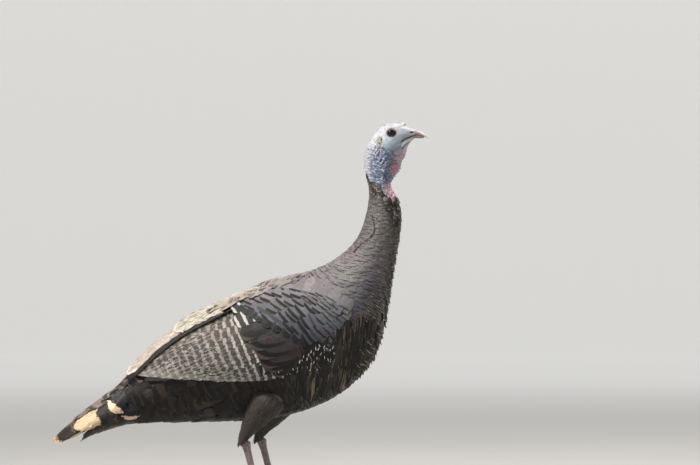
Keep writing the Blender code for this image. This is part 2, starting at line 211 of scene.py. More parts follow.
class Surface:
    """Rings of points, evenly spaced round, read by a section number and a turn."""

    def __init__(self, ring_points, sections, per_section=32, around=256):
        self.last, self.per, self.around = sections - 1, per_section, around
        rings = ring_points(np.linspace(0, self.last, self.last * per_section + 1), RING_ANGLE)
        self.p = np.empty((len(rings), around, 3))
        for i, run in enumerate(ring_lengths(rings)):
            want = np.arange(around) / around * run[-1]
            self.p[i] = path(want, run, *rings[i].T)
        along = np.gradient(self.p, axis=0)
        across = (np.roll(self.p, -1, axis=1) - np.roll(self.p, 1, axis=1)) / 2
        self.n = unit(np.cross(across, along))
        self.da = along * per_section
        self.dt = across * around
        # The normals must face out of the ring.
        middle = self.p.mean(axis=1, keepdims=True)
        if np.sum(self.n * (self.p - middle)) < 0:
            self.n = -self.n

    def read(self, grid, a, t):
        i = np.clip(a, 0, self.last) * self.per
        j = np.mod(t, 1.0) * self.around
        i0 = np.minimum(i.astype(int), grid.shape[0] - 2)
        j0 = j.astype(int) % self.around
        j1 = (j0 + 1) % self.around
        fi = (i - i0)[..., None]
        fj = (j - np.floor(j))[..., None]
        return ((grid[i0, j0] * (1 - fj) + grid[i0, j1] * fj) * (1 - fi)
                + (grid[i0 + 1, j0] * (1 - fj) + grid[i0 + 1, j1] * fj) * fi)

    def at(self, a, t, lift=0.0):
        # Beyond the ends the surface runs on straight.
        past = a - np.clip(a, 0, self.last)
        base = self.read(self.p, a, t) + self.read(self.da, a, t) * past[..., None]
        return base + self.normal(a, t) * np.asarray(lift)[..., None]

    def normal(self, a, t):
        return unit(self.read(self.n, a, t))

    def step(self, a, t, direction):
        """The change of section number and turn that moves along a direction."""
        da, dt = self.read(self.da, a, t), self.read(self.dt, a, t)
        aa, at_, tt = (da * da).sum(-1), (da * dt).sum(-1), (dt * dt).sum(-1)
        ra, rt = (da * direction).sum(-1), (dt * direction).sum(-1)
        det = np.maximum(aa * tt - at_ * at_, 1e-12)
        return np.stack([(tt * ra - at_ * rt) / det, (aa * rt - at_ * ra) / det], -1)

    def locate(self, places):
        """The section numbers and turns, on her left side, of places of the side view."""
        x, z = (np.array(places, dtype=float) + (SHIFT, 0.0)).T
        half = self.p[::4, 2:self.around // 2 - 1:2]
        a_of = np.arange(half.shape[0]) * 4 / self.per
        t_of = (2 + 2 * np.arange(half.shape[1])) / self.around
        flat = half.reshape(-1, 3)
        out = np.empty((len(x), 2))
        for k in range(len(x)):
            near = np.argmin((flat[:, 0] - x[k])**2 + (flat[:, 2] - z[k])**2)
            out[k] = a_of[near // half.shape[1]], t_of[near % half.shape[1]]
        for _ in range(4):
            here = self.at(*out.T)
            miss = np.stack([x - here[:, 0], z - here[:, 2]], -1)
            da, dt = self.read(self.da, *out.T), self.read(self.dt, *out.T)
            det = da[:, 0] * dt[:, 2] - da[:, 2] * dt[:, 0]
            det = np.where(np.abs(det) < 2e-4, 2e-4, det)
            move = np.stack([(miss[:, 0] * dt[:, 2] - miss[:, 1] * dt[:, 0]) / det,
                             (da[:, 0] * miss[:, 1] - da[:, 2] * miss[:, 0]) / det], -1)
            out += np.clip(move, -0.3, 0.3) * np.array([1.0, 0.1])
            out[:, 1] = np.clip(out[:, 1], 0.004, 0.496)
        return out


def section_ends(table, at):
    """The upper and the lower end of a table's sections, and their half widths."""
    s = between(table, at)
    upper, lower = (np.stack([s[:, k] + SHIFT, 0 * at, s[:, k + 1]], -1) for k in (0, 2))
    return upper, lower, s[:, 4]


def body_rings(at, angle):
    back, belly, wide = section_ends(BODY, at)
    up = back - belly
    half = np.linalg.norm(up, axis=1) / 2
    c, w = np.cos(angle), np.sin(angle)
    power = np.where(c > 0, 2 / ROUND_ABOVE, 2 / ROUND_BELOW)
    high = half[:, None] * signed_power(c, power)
    out = (back + belly)[:, None, :] / 2 + unit(up)[:, None, :] * high[..., None]
    out[..., 1] += wide[:, None] * signed_power(w, power)
    return out


def tail_rings(at, angle):
    ridge, edge, wide = section_ends(TAIL, at)
    c, w = np.cos(angle), np.sin(angle)
    out = (ridge + edge)[:, None, :] / 2 + (ridge - edge)[:, None, :] / 2 * c[None, :, None]
    out[..., 1] += wide[:, None] * (w * (1 - 0.22 * c))[None, :]
    return out


body = Surface(body_rings, len(BODY))
tail = Surface(tail_rings, len(TAIL))

# sign of y, x of the hock, x of the ankle
LEGS = {"right": (-1, 0.01, 0.04), "left": (1, 0.036, 0.068)}
LEG_Y, HOCK_Z, ANKLE_Z = 0.048, 0.138, 0.015
# x ahead of the hock, y outside the leg's, z, radius
THIGH = np.array([
    (0.056, -0.008, 0.226, 0.03),
    (0.038, 0.002, 0.204, 0.031),
    (0.016, 0.003, 0.172, 0.021),
    (0.000, 0.000, 0.141, 0.0108),
])
THIGH_LEAN = np.array([-0.62, 0, -0.78])


def thigh_surface(side):
    sign, hock_x, ankle_x = LEGS[side]
    down = unit(np.array([ankle_x - hock_x, 0, ANKLE_Z - HOCK_Z]))

    def rings(at, angle):
        s = between(THIGH, at)
        centre = np.stack([hock_x + s[:, 0] + SHIFT, sign * (LEG_Y + s[:, 1]), s[:, 2]], -1)
        lean = unit(lerp(THIGH_LEAN, down, np.clip(at - 2, 0, 1)[:, None]))
        deep = np.cross(lean, [0.0, 1.0, 0.0])
        wide = np.array([0, 1.0, 0]) * np.cos(angle)[None, :, None]
        deep = deep[:, None, :] * np.sin(angle)[None, :, None]
        return centre[:, None, :] + s[:, 3][:, None, None] * (wide + deep)

    return Surface(rings, len(THIGH), per_section=16, around=96)


# --- meshes ------------------------------------------------------------------------------------------------

def make_mesh(name, points, faces):
    """A mesh from a point array and an array of quads or triangles."""
    mesh = bpy.data.meshes.new(name)
    mesh.vertices.add(len(points))
    mesh.vertices.foreach_set("co", np.ascontiguousarray(points, dtype=np.float32).ravel())
    mesh.loops.add(faces.size)
    mesh.loops.foreach_set("vertex_index", np.ascontiguousarray(faces, dtype=np.int32).ravel())
    mesh.polygons.add(len(faces))
    mesh.polygons.foreach_set("loop_start", np.arange(0, faces.size, faces.shape[1], dtype=np.int32))
    mesh.update(calc_edges=True)
    mesh.validate()
    mesh.shade_smooth()
    obj = bpy.data.objects.new(name, mesh)
    bpy.context.scene.collection.objects.link(obj)
    return obj


def put(obj, name, kind, values):
    """Stores a point attribute."""
    layer = obj.data.attributes.new(name, kind, "POINT")
    key = {"FLOAT_VECTOR": "vector", "FLOAT_COLOR": "color", "FLOAT": "value"}[kind]
    layer.data.foreach_set(key, np.ascontiguousarray(values, dtype=np.float32).ravel())


def fetch(items, key, kind, width):
    """Reads one row of numbers from each item of a mesh."""
    out = np.empty(len(items) * width, dtype=kind)
    items.foreach_get(key, out)
    return out.reshape(-1, width)


def dress(obj, material, slot, *nodes):
    """Gives a piece its material, puts it on the one body, and names the solids it replaces; slot is not
    used.
    """
    obj.data.materials.append(material)
    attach(obj, "root")
    if nodes:
        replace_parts(obj, *nodes)


def grid_faces(rows, cols):
    """Quads between rings of points."""
    i, j = np.meshgrid(np.arange(rows - 1), np.arange(cols), indexing="ij")
    a = (i * cols + j).ravel()
    b = (i * cols + (j + 1) % cols).ravel()
    return np.stack([a, b, b + cols, a + cols], -1)


def halves(quads):
    """Two triangles for each quad."""
    return np.concatenate([quads[:, [0, 1, 2]], quads[:, [0, 2, 3]]])


def outward(points, triangles):
    """Turns a closed mesh's triangles so that they face out."""
    a, b, c = (points[triangles[:, k]] for k in range(3))
    volume = np.einsum("ij,ij->i", a, np.cross(b, c)).sum()
    return triangles if volume > 0 else triangles[:, ::-1]


def closed(points, cols):
    """Rings of points and the middles of both end rings, with triangles all over that face out."""
    rows = len(points) // cols
    triangles = [halves(grid_faces(rows, cols))]
    for row, step in ((0, -1), (rows - 1, 1)):
        ring = np.arange(cols) + row * cols
        triangles.append(np.stack([np.full(cols, len(points)), ring, np.roll(ring, -1)], -1)[:, ::step])
        points = np.concatenate([points, points[ring].mean(axis=0)[None]])
    return points, outward(points, np.concatenate(triangles))


def tube(middles, radii, around, up=(0.0, 1.0, 0.0)):
    """Points and triangles of a closed tube along a line."""
    run = unit(np.gradient(middles, axis=0))
    across = unit(np.cross(run, np.array(up)))
    over = np.cross(across, run)
    angle = np.linspace(0, 2 * np.pi, around, endpoint=False)[None, :, None]
    ring = across[:, None] * np.cos(angle) + over[:, None] * np.sin(angle)
    return closed((middles[:, None] + radii[:, None, None] * ring).reshape(-1, 3), around)


# --- materials ---------------------------------------------------------------------------------------------

class Tree:
    """Builds one material's nodes from short calls."""

    def __init__(self, name):
        self.material = bpy.data.materials.new(name)
        self.material.use_nodes = True
        self.tree = self.material.node_tree
        self.shader = self.tree.nodes["Principled BSDF"]

    def node(self, kind, inputs=(), **settings):
        made = self.tree.nodes.new(kind)
        for key, value in settings.items():
            setattr(made, key, value)
        for key, value in dict(inputs).items():
            self.feed(made.inputs[key], value)
        return made

    def feed(self, socket, value):
        if isinstance(value, bpy.types.NodeSocket):
            self.tree.links.new(value, socket)
        else:
            socket.default_value = value

    def math(self, operation, a, b=0.0, c=0.0):
        return self.node("ShaderNodeMath", {0: a, 1: b, 2: c}, operation=operation).outputs[0]

    def plus(self, a, b):
        return self.math("ADD", a, b)

    def times(self, a, b, more=None):
        """The product of two or three values."""
        out = self.math("MULTIPLY", a, b)
        return out if more is None else self.math("MULTIPLY", out, more)

    def times_plus(self, a, b, c):
        return self.math("MULTIPLY_ADD", a, b, c)

    def ramp(self, x, lo, hi, out_lo=0.0, out_hi=1.0, kind="SMOOTHSTEP"):
        inputs = {"Value": x, "From Min": lo, "From Max": hi, "To Min": out_lo, "To Max": out_hi}
        return self.node("ShaderNodeMapRange", inputs, interpolation_type=kind).outputs[0]

    def mix(self, share, a, b, how="MIX"):
        made = self.node("ShaderNodeMix", data_type="RGBA", blend_type=how, clamp_factor=True)
        for index, value in ((0, share), (6, a), (7, b)):
            self.feed(made.inputs[index], value)
        return made.outputs[2]

    def shaded(self, colour, factor):
        return self.mix(1.0, colour, factor, "MULTIPLY")

    def attribute(self, name):
        return self.node("ShaderNodeAttribute", attribute_name=name)

    def split(self, vector):
        return self.node("ShaderNodeSeparateXYZ", {0: vector}).outputs

    def join(self, x, y=0.0, z=0.0):
        return self.node("ShaderNodeCombineXYZ", {0: x, 1: y, 2: z}).outputs[0]

    def place(self):
        return self.node("ShaderNodeTexCoord").outputs["Object"]

    def noise(self, vector, scale, detail=2.0, rough=0.5):
        inputs = {"Vector": vector, "Scale": scale, "Detail": detail, "Roughness": rough}
        return self.node("ShaderNodeTexNoise", inputs).outputs["Fac"]

    def scaled(self, vector, *factors):
        return self.node("ShaderNodeVectorMath", {0: vector, 1: factors}, operation="MULTIPLY").outputs[0]

    def bump(self, height, strength, distance):
        inputs = {"Height": height, "Strength": strength, "Distance": distance}
        return self.node("ShaderNodeBump", inputs).outputs[0]

    def finish(self, **inputs):
        for key, value in inputs.items():
            self.feed(self.shader.inputs[key.replace("_", " ")], value)
        return self.material


def feather_material(name, sheen, specular):
    """One vane: base, pale bars, a dark band inside the tip, a pale fringe, barbs with painted shade between
    them, and a shaft.
    """
    m = Tree(name)
    u, v, chance = m.split(m.attribute("vane").outputs["Vector"])
    length, width, gloss = m.split(m.attribute("metre").outputs["Vector"])
    marks, band = m.attribute("marks"), m.attribute("band")
    bars, bar_share, mottle = m.split(marks.outputs["Vector"])
    band_from, band_to, edge_share = m.split(band.outputs["Vector"])
    roundness = band.outputs["Alpha"]
    dark, pale = m.attribute("dark"), m.attribute("pale")
    along = m.times(u, length)
    out = m.times(m.math("ABSOLUTE", v), width)
    fade = m.times(m.attribute("fade").outputs["Fac"], m.ramp(u, 0.08, 0.56))
    # Noise that belongs to the vane itself.
    own = m.join(m.times(v, width), along, m.times(chance, 7.0))
    rough_noise = m.noise(own, 180.0, 3.0)
    fine_noise = m.noise(m.scaled(own, 1.0, 0.35, 1.0), 900.0)
    uneven = m.math("SUBTRACT", rough_noise, 0.5)
    shade = m.plus(m.ramp(rough_noise, 0.25, 0.75, 0.82, 1.16), m.ramp(fine_noise, 0.3, 0.7, -0.12, 0.12))
    colour = m.shaded(m.attribute("base").outputs["Color"], shade)
    # Pale bars, which break up with the mottling.
    turns = m.plus(m.times_plus(u, bars, marks.outputs["Alpha"]),
        m.times(uneven, m.times_plus(fade, 0.9, mottle)))
    wave = m.math("SINE", m.times(turns, 2 * math.pi))
    bar = m.times(m.ramp(wave, 0.25, 0.7), bar_share, m.times_plus(fade, -0.66, 1.0))
    colour = m.mix(bar, colour, pale.outputs["Color"])
    # Fine wavy lines take over where the bars fade.
    shift = m.join(m.times(fine_noise, 0.0006))
    stretched = {0: m.scaled(own, 2.6, 0.52, 1.0), 1: shift}
    worms = m.noise(m.node("ShaderNodeVectorMath", stretched, operation="ADD").outputs[0], 165.0, 3.0, 0.62)
    colour = m.mix(m.times(m.ramp(worms, 0.5, 0.66), m.times(fade, 0.6)), colour, pale.outputs["Color"])
    colour = m.mix(m.times(m.ramp(worms, 0.5, 0.38), m.times(fade, 0.75)), colour, dark.outputs["Color"])
    # Bands that follow the tip: straight across it, or round with it.
    past = m.math("MAXIMUM", m.ramp(u, 0.5, 1.0, kind="LINEAR"), 0.0)
    square = m.times_plus(m.times(v, v), roundness, m.times(past, past))
    reach = m.math("SQRT", m.math("MAXIMUM", square, 0.0))
    reach = m.plus(reach, m.times(uneven, m.times(mottle, 0.34)))
    inside = m.ramp(reach, m.math("SUBTRACT", band_from, 0.04), m.plus(band_from, 0.04))
    beyond = m.ramp(reach, m.math("SUBTRACT", band_to, 0.035), m.plus(band_to, 0.035))
    # Along the sides both fade towards the root.
    to_tip = m.ramp(u, 0.15, 0.6)
    colour = m.mix(m.times(inside, dark.outputs["Alpha"], to_tip), colour, dark.outputs["Color"])
    streaks = m.noise(m.scaled(own, 3.0, 0.5, 1.0), 330.0)
    edge = m.shaded(pale.outputs["Color"], m.ramp(streaks, 0.35, 0.65, 0.72, 1.12))
    colour = m.mix(m.times(beyond, edge_share, to_tip), colour, edge)
    # Shaft and barbs.
    shaft = m.times(m.ramp(out, 0.00022, 0.0005, 1.0, 0.0), pale.outputs["Alpha"])
    colour = m.mix(m.times(shaft, 0.55), colour, m.mix(0.5, colour, (0.35, 0.28, 0.2, 1)))
    slant = m.times_plus(out, 1.15, m.times(along, -1.0))
    barb = m.math("SINE", m.times(slant, 2 * math.pi / 0.0011))
    barb = m.times(barb, m.ramp(rough_noise, 0.3, 0.7, 0.35, 1.0))
    # The grooves between the barbs are painted darker: painted shade.
    colour = m.mix(m.ramp(barb, -1.0, 1.0, 0.16, 0.0, "LINEAR"), colour, (0.004, 0.0035, 0.003, 1))
    normal = m.bump(m.plus(m.times(barb, 0.5), m.times(shaft, 2.0)), 0.45, 0.00025)
    return m.finish(Base_Color=colour, Normal=normal, Roughness=m.times_plus(gloss, -0.34, 0.66),
                    Metallic=m.times(gloss, 0.35), Specular_IOR_Level=specular, Sheen_Weight=sheen,
                    Sheen_Roughness=0.5)


def skin_material():
    """Bare skin, coloured by the zones that are painted on its points, with painted shade in creases, grooves
    and pits.
    """
    m = Tree("bare_skin")
    wet, dark, _ = m.split(m.attribute("relief").outputs["Vector"])
    place = m.place()
    fine = m.noise(place, 1400.0, 3.0)
    broad = m.noise(place, 260.0)
    web = {"Vector": m.scaled(place, 1.0, 1.0, 1.7), "Scale": 620.0}
    wrinkles = m.node("ShaderNodeTexVoronoi", web, feature="DISTANCE_TO_EDGE").outputs["Distance"]
    # Painted shade in the creases of the wrinkles.
    painted_crease_shade = m.ramp(wrinkles, 0.0, 0.16, 1.0, 0.0)
    colour = m.mix(m.times(painted_crease_shade, 0.22), m.attribute("zone").outputs["Color"], (0.16, 0.15, 0.2, 1))
    colour = m.shaded(colour, m.plus(m.ramp(fine, 0.3, 0.7, -0.1, 0.1), m.ramp(broad, 0.3, 0.7, 0.9, 1.1)))
    # Darkness from the relief: painted shade in creases, grooves and pits, and the pin feathers' own dark.
    colour = m.mix(dark, colour, (0.02, 0.016, 0.016, 1))
    normal = m.bump(m.plus(m.ramp(wrinkles, 0.0, 0.22), m.times(fine, 0.6)), 0.5, 0.00035)
    return m.finish(Base_Color=colour, Normal=normal, Roughness=m.times_plus(wet, -0.3, 0.55),
                    Specular_IOR_Level=0.4, Subsurface_Weight=0.12, Subsurface_Radius=(0.004, 0.0015, 0.001),
                    Subsurface_Scale=0.5)


# --- the wings' outer face ---------------------------------------------------------------------------------

def wing_lift_grid():
    """How far the folded wings stand out from the body, as the solids have it."""
    at = np.arange(body.p.shape[0]) / body.per
    turns = np.arange(body.around) / body.around
    lengths = ring_lengths(body_rings(at, RING_ANGLE))
    angle = np.stack([np.interp(turns * r[-1], r, RING_ANGLE) for r in lengths])
    folded = np.minimum(angle, 2 * np.pi - angle)
    top_of = np.radians(np.interp(at, [WING_TIP, 2.2, 4.4, 6.2, WING_BEND], [17, 14, 20, 38, 70]))
    edge_x, edge_z = (-0.205, -0.078, 0.025, 0.12, 0.165, 0.2), (0.233, 0.245, 0.252, 0.256, 0.272, 0.315)
    above = body.p[..., 2] > np.interp(body.p[..., 0] - SHIFT, edge_x, edge_z)
    on = above & (folded > top_of[:, None]) & (at[:, None] >= WING_TIP) & (at[:, None] <= WING_BEND)
    to_tip = np.minimum(1, 0.45 + 0.55 * (at - WING_TIP) / (WING_SPLIT - WING_TIP))
    to_bend = np.clip((at - (WING_BEND - BEND_REACH)) / BEND_REACH, 0, 1)
    thick = WING_EDGE + (WING_THICK - WING_EDGE) * to_tip * np.sqrt(1 - to_bend**2)
    low = np.array([f[o].max() if o.any() else 2.0 for f, o in zip(folded, on)])
    share = np.clip((folded - top_of[:, None]) / np.maximum(low - top_of, 0.05)[:, None], 0, 1)
    swell = 0.6 + 0.4 * np.sin(np.pi * np.minimum(1.0, 1.1 * share))**0.6
    return np.where(on, thick[:, None] * swell, 0.0)


def blurred(grid, rows, cols):
    """A grid softened by a moving mean, along and round."""
    out = grid
    for _ in range(2):
        padded = np.concatenate([out[:1]] * rows + [out] + [out[-1:]] * rows)
        out = sum(padded[k:k + len(out)] for k in range(2 * rows + 1)) / (2 * rows + 1)
        out = sum(np.roll(out, k, axis=1) for k in range(-cols, cols + 1)) / (2 * cols + 1)
    return out


WING = wing_lift_grid()
WING_SOFT = blurred(WING, 6, 3)[..., None]
WING_ON = blurred((WING > 0).astype(float), 2, 1)[..., None]


def wing_lift(a, t):
    return body.read(WING_SOFT, a, t)[..., 0]


def wing_share(a, t):
    return body.read(WING_ON, a, t)[..., 0]


# --- vanes -------------------------------------------------------------------------------------------------

class Coat:
    """Vanes that share a material, made into pieces below the triangle limit."""

    def __init__(self, name, material, slot, limit=180000):
        self.name, self.material, self.slot, self.limit = name, material, slot, limit
        self.batches = []

    def build(self):
        """Makes the pieces, and returns the first."""
        chunk, used, pieces = [], 0, []
        for points, u, v, uv, patch, looks in self.batches:
            each = len(vane_faces(*points.shape[1:3])[0])
            start = 0
            while start < len(points):
                take = min(len(points) - start, (self.limit - used) // each)
                if take == 0:
                    pieces.append(self.make(chunk, len(pieces) + 1))
                    chunk, used = [], 0
                    continue
                part = slice(start, start + take)
                chunk.append((points[part], u, v, uv[part], patch[part],
                    {k: w[part] for k, w in looks.items()}))
                used += take * each
                start += take
        pieces.append(self.make(chunk, len(pieces) + 1))
        return pieces[0]

    def make(self, chunk, number):
        points, faces, sharp, uvs, first = [], [], [], [], 0
        kinds = {"vane": "FLOAT_VECTOR", "metre": "FLOAT_VECTOR", "fade": "FLOAT"}
        stores = {key: [] for key in (*kinds, "marks", "band", "base", "dark", "pale")}
        for p, u, v, uv, patch, looks in chunk:
            count, rows, cols = p.shape[:3]
            triangles, rim = vane_faces(rows, cols)
            offset = first + np.arange(count)[:, None, None] * rows * cols
            faces.append((triangles[None] + offset).reshape(-1, 3))
            sharp.append((rim[None] + offset).reshape(-1, 2))
            points.append(p.reshape(-1, 3))
            first += count * rows * cols
            uu, vv = np.broadcast_to(u[:, None], (rows, cols)), np.broadcast_to(v[None, :], (rows, cols))
            vane = np.empty((count, rows, cols, 3))
            vane[..., 0], vane[..., 1], vane[..., 2] = uu, vv, looks["chance"][:, None, None]
            for key, store in stores.items():
                here = vane.reshape(-1, 3) if key == "vane" else np.repeat(looks[key], rows * cols, axis=0)
                store.append(here)
            spread = np.stack([vv * 0.5, uu - 0.5], -1)[None] * patch[:, None, None, None]
            uvs.append((uv[:, None, None, :] + spread).reshape(-1, 2))
        faces = np.concatenate(faces)
        obj = make_mesh(f"{self.name}_{number}", np.concatenate(points), faces)
        mark_sharp(obj.data, np.concatenate(sharp))
        for key, values in stores.items():
            put(obj, key, kinds.get(key, "FLOAT_COLOR"), np.concatenate(values))
        layer = obj.data.uv_layers.new(name="OFBake")
        layer.data.foreach_set("uv", np.concatenate(uvs)[faces.ravel()].astype(np.float32).ravel())
        dress(obj, self.material, self.slot)
        return obj


def vane_faces(rows, cols):
    """Triangles of one vane, whose last column is the keel under its shaft, and the edges of its rim."""
    top = np.arange(rows * cols).reshape(rows, cols)
    keel, top = top[:, -1], top[:, :-1]
    a, b, c, d = top[:-1, :-1], top[:-1, 1:], top[1:, 1:], top[1:, :-1]
    parts = [np.stack([a, d, c], -1), np.stack([a, c, b], -1)]
    for edge, turn in ((top[:, 0], 1), (top[:, -1], -1)):
        parts.append(np.stack([edge[:-1], keel[:-1], keel[1:]], -1)[:, ::turn])
        parts.append(np.stack([edge[:-1], keel[1:], edge[1:]], -1)[:, ::turn])
    for row, turn in ((0, -1), (rows - 1, 1)):
        parts.append(np.stack([top[row, :-1], np.full(cols - 2, keel[row]), top[row, 1:]], -1)[:, ::turn])
    rim = [np.stack([line[:-1], line[1:]], -1) for line in (top[:, 0], top[:, -1], top[0], top[-1])]
    return np.concatenate([p.reshape(-1, 3) for p in parts]), np.concatenate(rim)


def mark_sharp(mesh, pairs):
    """Marks edges, given by their two points, as sharp."""
    ends = np.sort(fetch(mesh.edges, "vertices", np.int64, 2), axis=1)
    pairs = np.sort(pairs, axis=1)
    found = np.isin(ends[:, 0] << 32 | ends[:, 1], pairs[:, 0] << 32 | pairs[:, 1])
    layer = mesh.attributes.new("sharp_edge", "BOOLEAN", "EDGE")
    layer.data.foreach_set("value", found)


def outline(start, broad, bend, power, close):
    """A vane's width along it: a share of the full width at the root, full from one place on, and closing
    from another to the tip."""
    def width(u):
        end = np.clip(1 - (np.clip(u - bend, 0, 1) / (1 - bend))**power, 0, 1)**close
        return np.maximum((start + (1 - start) * smooth(0.0, broad, u)) * end, 0.02)

    return width


# A round body feather, a nearly even flight feather, a covert with a straight end, and a loose feather that
# thins out.
contour = outline(0.42, 0.55, 0.6, 2.2, 0.5)
flight = outline(0.62, 0.4, 0.86, 2.0, 0.5)
blunt = outline(0.5, 0.45, 0.76, 3.4, 0.42)
pointed = outline(0.35, 0.4, 0.45, 1.0, 0.62)


def run_along(surface, root, length, heading, u):
    """The lines that start at roots and run on at a heading from the lie of the surface."""
    here, line = root, [root]
    for gain in np.diff(u):
        a, t = here.T
        flow = -unit(surface.read(surface.da, a, t))
        side = np.cross(surface.normal(a, t), flow)
        ahead = flow * np.cos(heading)[:, None] + side * np.sin(heading)[:, None]
        here = here + surface.step(a, t, ahead) * (length * gain)[:, None]
        line.append(here)
    return np.stack(line, 1)


SHAFT_RISE, SHAFT_WIDTH, VANE_THICK = 0.00018, 0.12, 0.0003


def vanes(coat, surface, root, length, width, looks, heading=0.0, tip=None, mirror=False, rows=12, cols=9,
          shape=contour, top=0.0, depth=0.003, cup=0.1, tilt=0.0, ragged=0.05, wing=None, drape=0.0, curl=0.0,
          patch=0.003):
    """Lays vanes on a surface, each from its root along a heading or to a tip, and adds them to a coat.

    top is the tip's height, depth how much lower the root is, cup how far the edges fall below the shaft as
    a share of the width, tilt the height gained towards one edge, wing a height read from the place on the
    body, drape how far a vane's edges follow that height rather than its shaft's, curl how far the tip bends
    down, and patch the size of a vane's part of the UV map.
    """
    count = len(root)
    length, width, heading = (per(x, count) for x in (length, width, heading))
    top, depth, tilt, drape, curl = (per(x, count)[:, None, None] for x in (top, depth, tilt, drape, curl))
    u = 1 - (1 - np.linspace(0, 1, rows))**1.35
    v = np.linspace(-1, 1, cols)
    if tip is None:
        line = run_along(surface, root, length, heading, u)
    else:
        line = lerp(root[:, None, :], tip[:, None, :], u[None, :, None])
    a, t = line[..., 0], line[..., 1]
    middle = surface.at(a, t)
    side = unit(np.cross(surface.normal(a, t), unit(np.gradient(middle, axis=1))))
    if tip is not None:
        length = np.linalg.norm(np.diff(middle, axis=1), axis=2).sum(axis=1)
    # u runs down the rows from here on.
    down = u[None, :, None]
    half = width[:, None, None] * shape(down)
    edge = 1 + ragged * RNG.standard_normal((count, rows, cols)) * (np.abs(v) > 0.7)
    place = line[:, :, None, :] + surface.step(a, t, side)[:, :, None, :] * (half * v * edge)[..., None]
    low = (per(0.0, count, rows) if wing is None else wing(a, t))[..., None]
    height = low + top - depth * (1 - down)**1.25 - cup * half * v**2 + tilt * v
    if wing is not None:
        height = height + drape * (wing(place[..., 0], place[..., 1]) - low)
    # The tip curls, and the shaft stands a little proud.
    height = height - curl * width[:, None, None] * np.clip(down - 0.65, 0, 1)**2 * 8
    height = height + SHAFT_RISE * np.exp(-(v / SHAFT_WIDTH)**2)
    points = surface.at(place[..., 0], place[..., 1], height)
    keel = surface.at(a, t, height[:, :, cols // 2] - VANE_THICK - 0.03 * half[..., 0])
    if mirror:
        points, keel, v = points[:, :, ::-1] * MIRROR, keel * MIRROR, v[::-1]
    points = np.concatenate([points, keel[:, :, None, :]], axis=2)
    turn = np.mod(1 - root[:, 1] if mirror else root[:, 1], 1.0)
    uv = 0.04 + 0.92 * np.stack([np.clip((root[:, 0] + 1.5) / (surface.last + 1.5), 0, 1), turn], -1)
    own = {key: per(looks[key], count, 4) for key in ("marks", "band", "base", "dark", "pale")}
    own["chance"] = RNG.random(count)
    own["metre"] = np.stack([length, width, per(looks.get("gloss", 0.2), count)], -1)
    own["fade"] = per(looks.get("fade", 0.0), count)
    coat.batches.append((points, u, np.append(v, 0.0), uv, per(patch, count), own))


def vary(colour, count, spread=0.12, tint=0.03):
    """A colour for each of many feathers, with its own brightness and a little of its own hue."""
    colour = per(colour, count, 4)
    colour[:, :3] *= (1 + spread * RNG.standard_normal(count))[:, None].clip(0.5, 1.6)
    colour[:, :3] *= 1 + tint * RNG.standard_normal((count, 3))
    return colour.clip(0, 1)


def scatter(surface, spacing, inside, tries, a_range, wide=None):
    """Roots spread over a surface, no nearer to each other than the spacing asks along the lie of the
    feathers, and wide times that across it."""
    cell = 0.012
    areas = np.linalg.norm(np.cross(surface.da, surface.dt), axis=-1)
    lo, hi = (int(x * surface.per) for x in a_range)
    i, j = np.meshgrid(np.arange(lo, hi), np.arange(surface.around), indexing="ij")
    a_all, t_all = i.ravel() / surface.per, j.ravel() / surface.around
    weight = areas[lo:hi].ravel() / spacing(a_all, t_all)**2 * inside(a_all, t_all)
    pick = RNG.choice(len(weight), size=tries, p=weight / weight.sum())
    a = a_all[pick] + RNG.random(tries) / surface.per
    t = np.mod(t_all[pick] + RNG.random(tries) / surface.around, 1.0)
    flow = unit(surface.read(surface.da, a, t))
    broad = np.ones(tries) if wide is None else wide(a, t)
    kept, table = [], {}
    rows = np.column_stack([surface.at(a, t), flow, spacing(a, t), broad]).tolist()
    for k, (x, y, z, fx, fy, fz, r, w) in enumerate(rows):
        home = tuple(int(q // cell) for q in (x, y, z))
        reach = int(r * w // cell) + 1
        around = itertools.product(*(range(q - reach, q + reach + 1) for q in home))
        for ox, oy, oz in (other for key in around for other in table.get(key, ())):
            dx, dy, dz = ox - x, oy - y, oz - z
            ahead = (dx * fx + dy * fy + dz * fz)**2
            if ahead + (dx * dx + dy * dy + dz * dz - ahead) / w**2 < r * r:
                break
        else:
            table.setdefault(home, []).append((x, y, z))
            kept.append(k)
    return np.stack([a[kept], t[kept]], -1)


# --- the coat's markings -----------------------------------------------------------------------------------

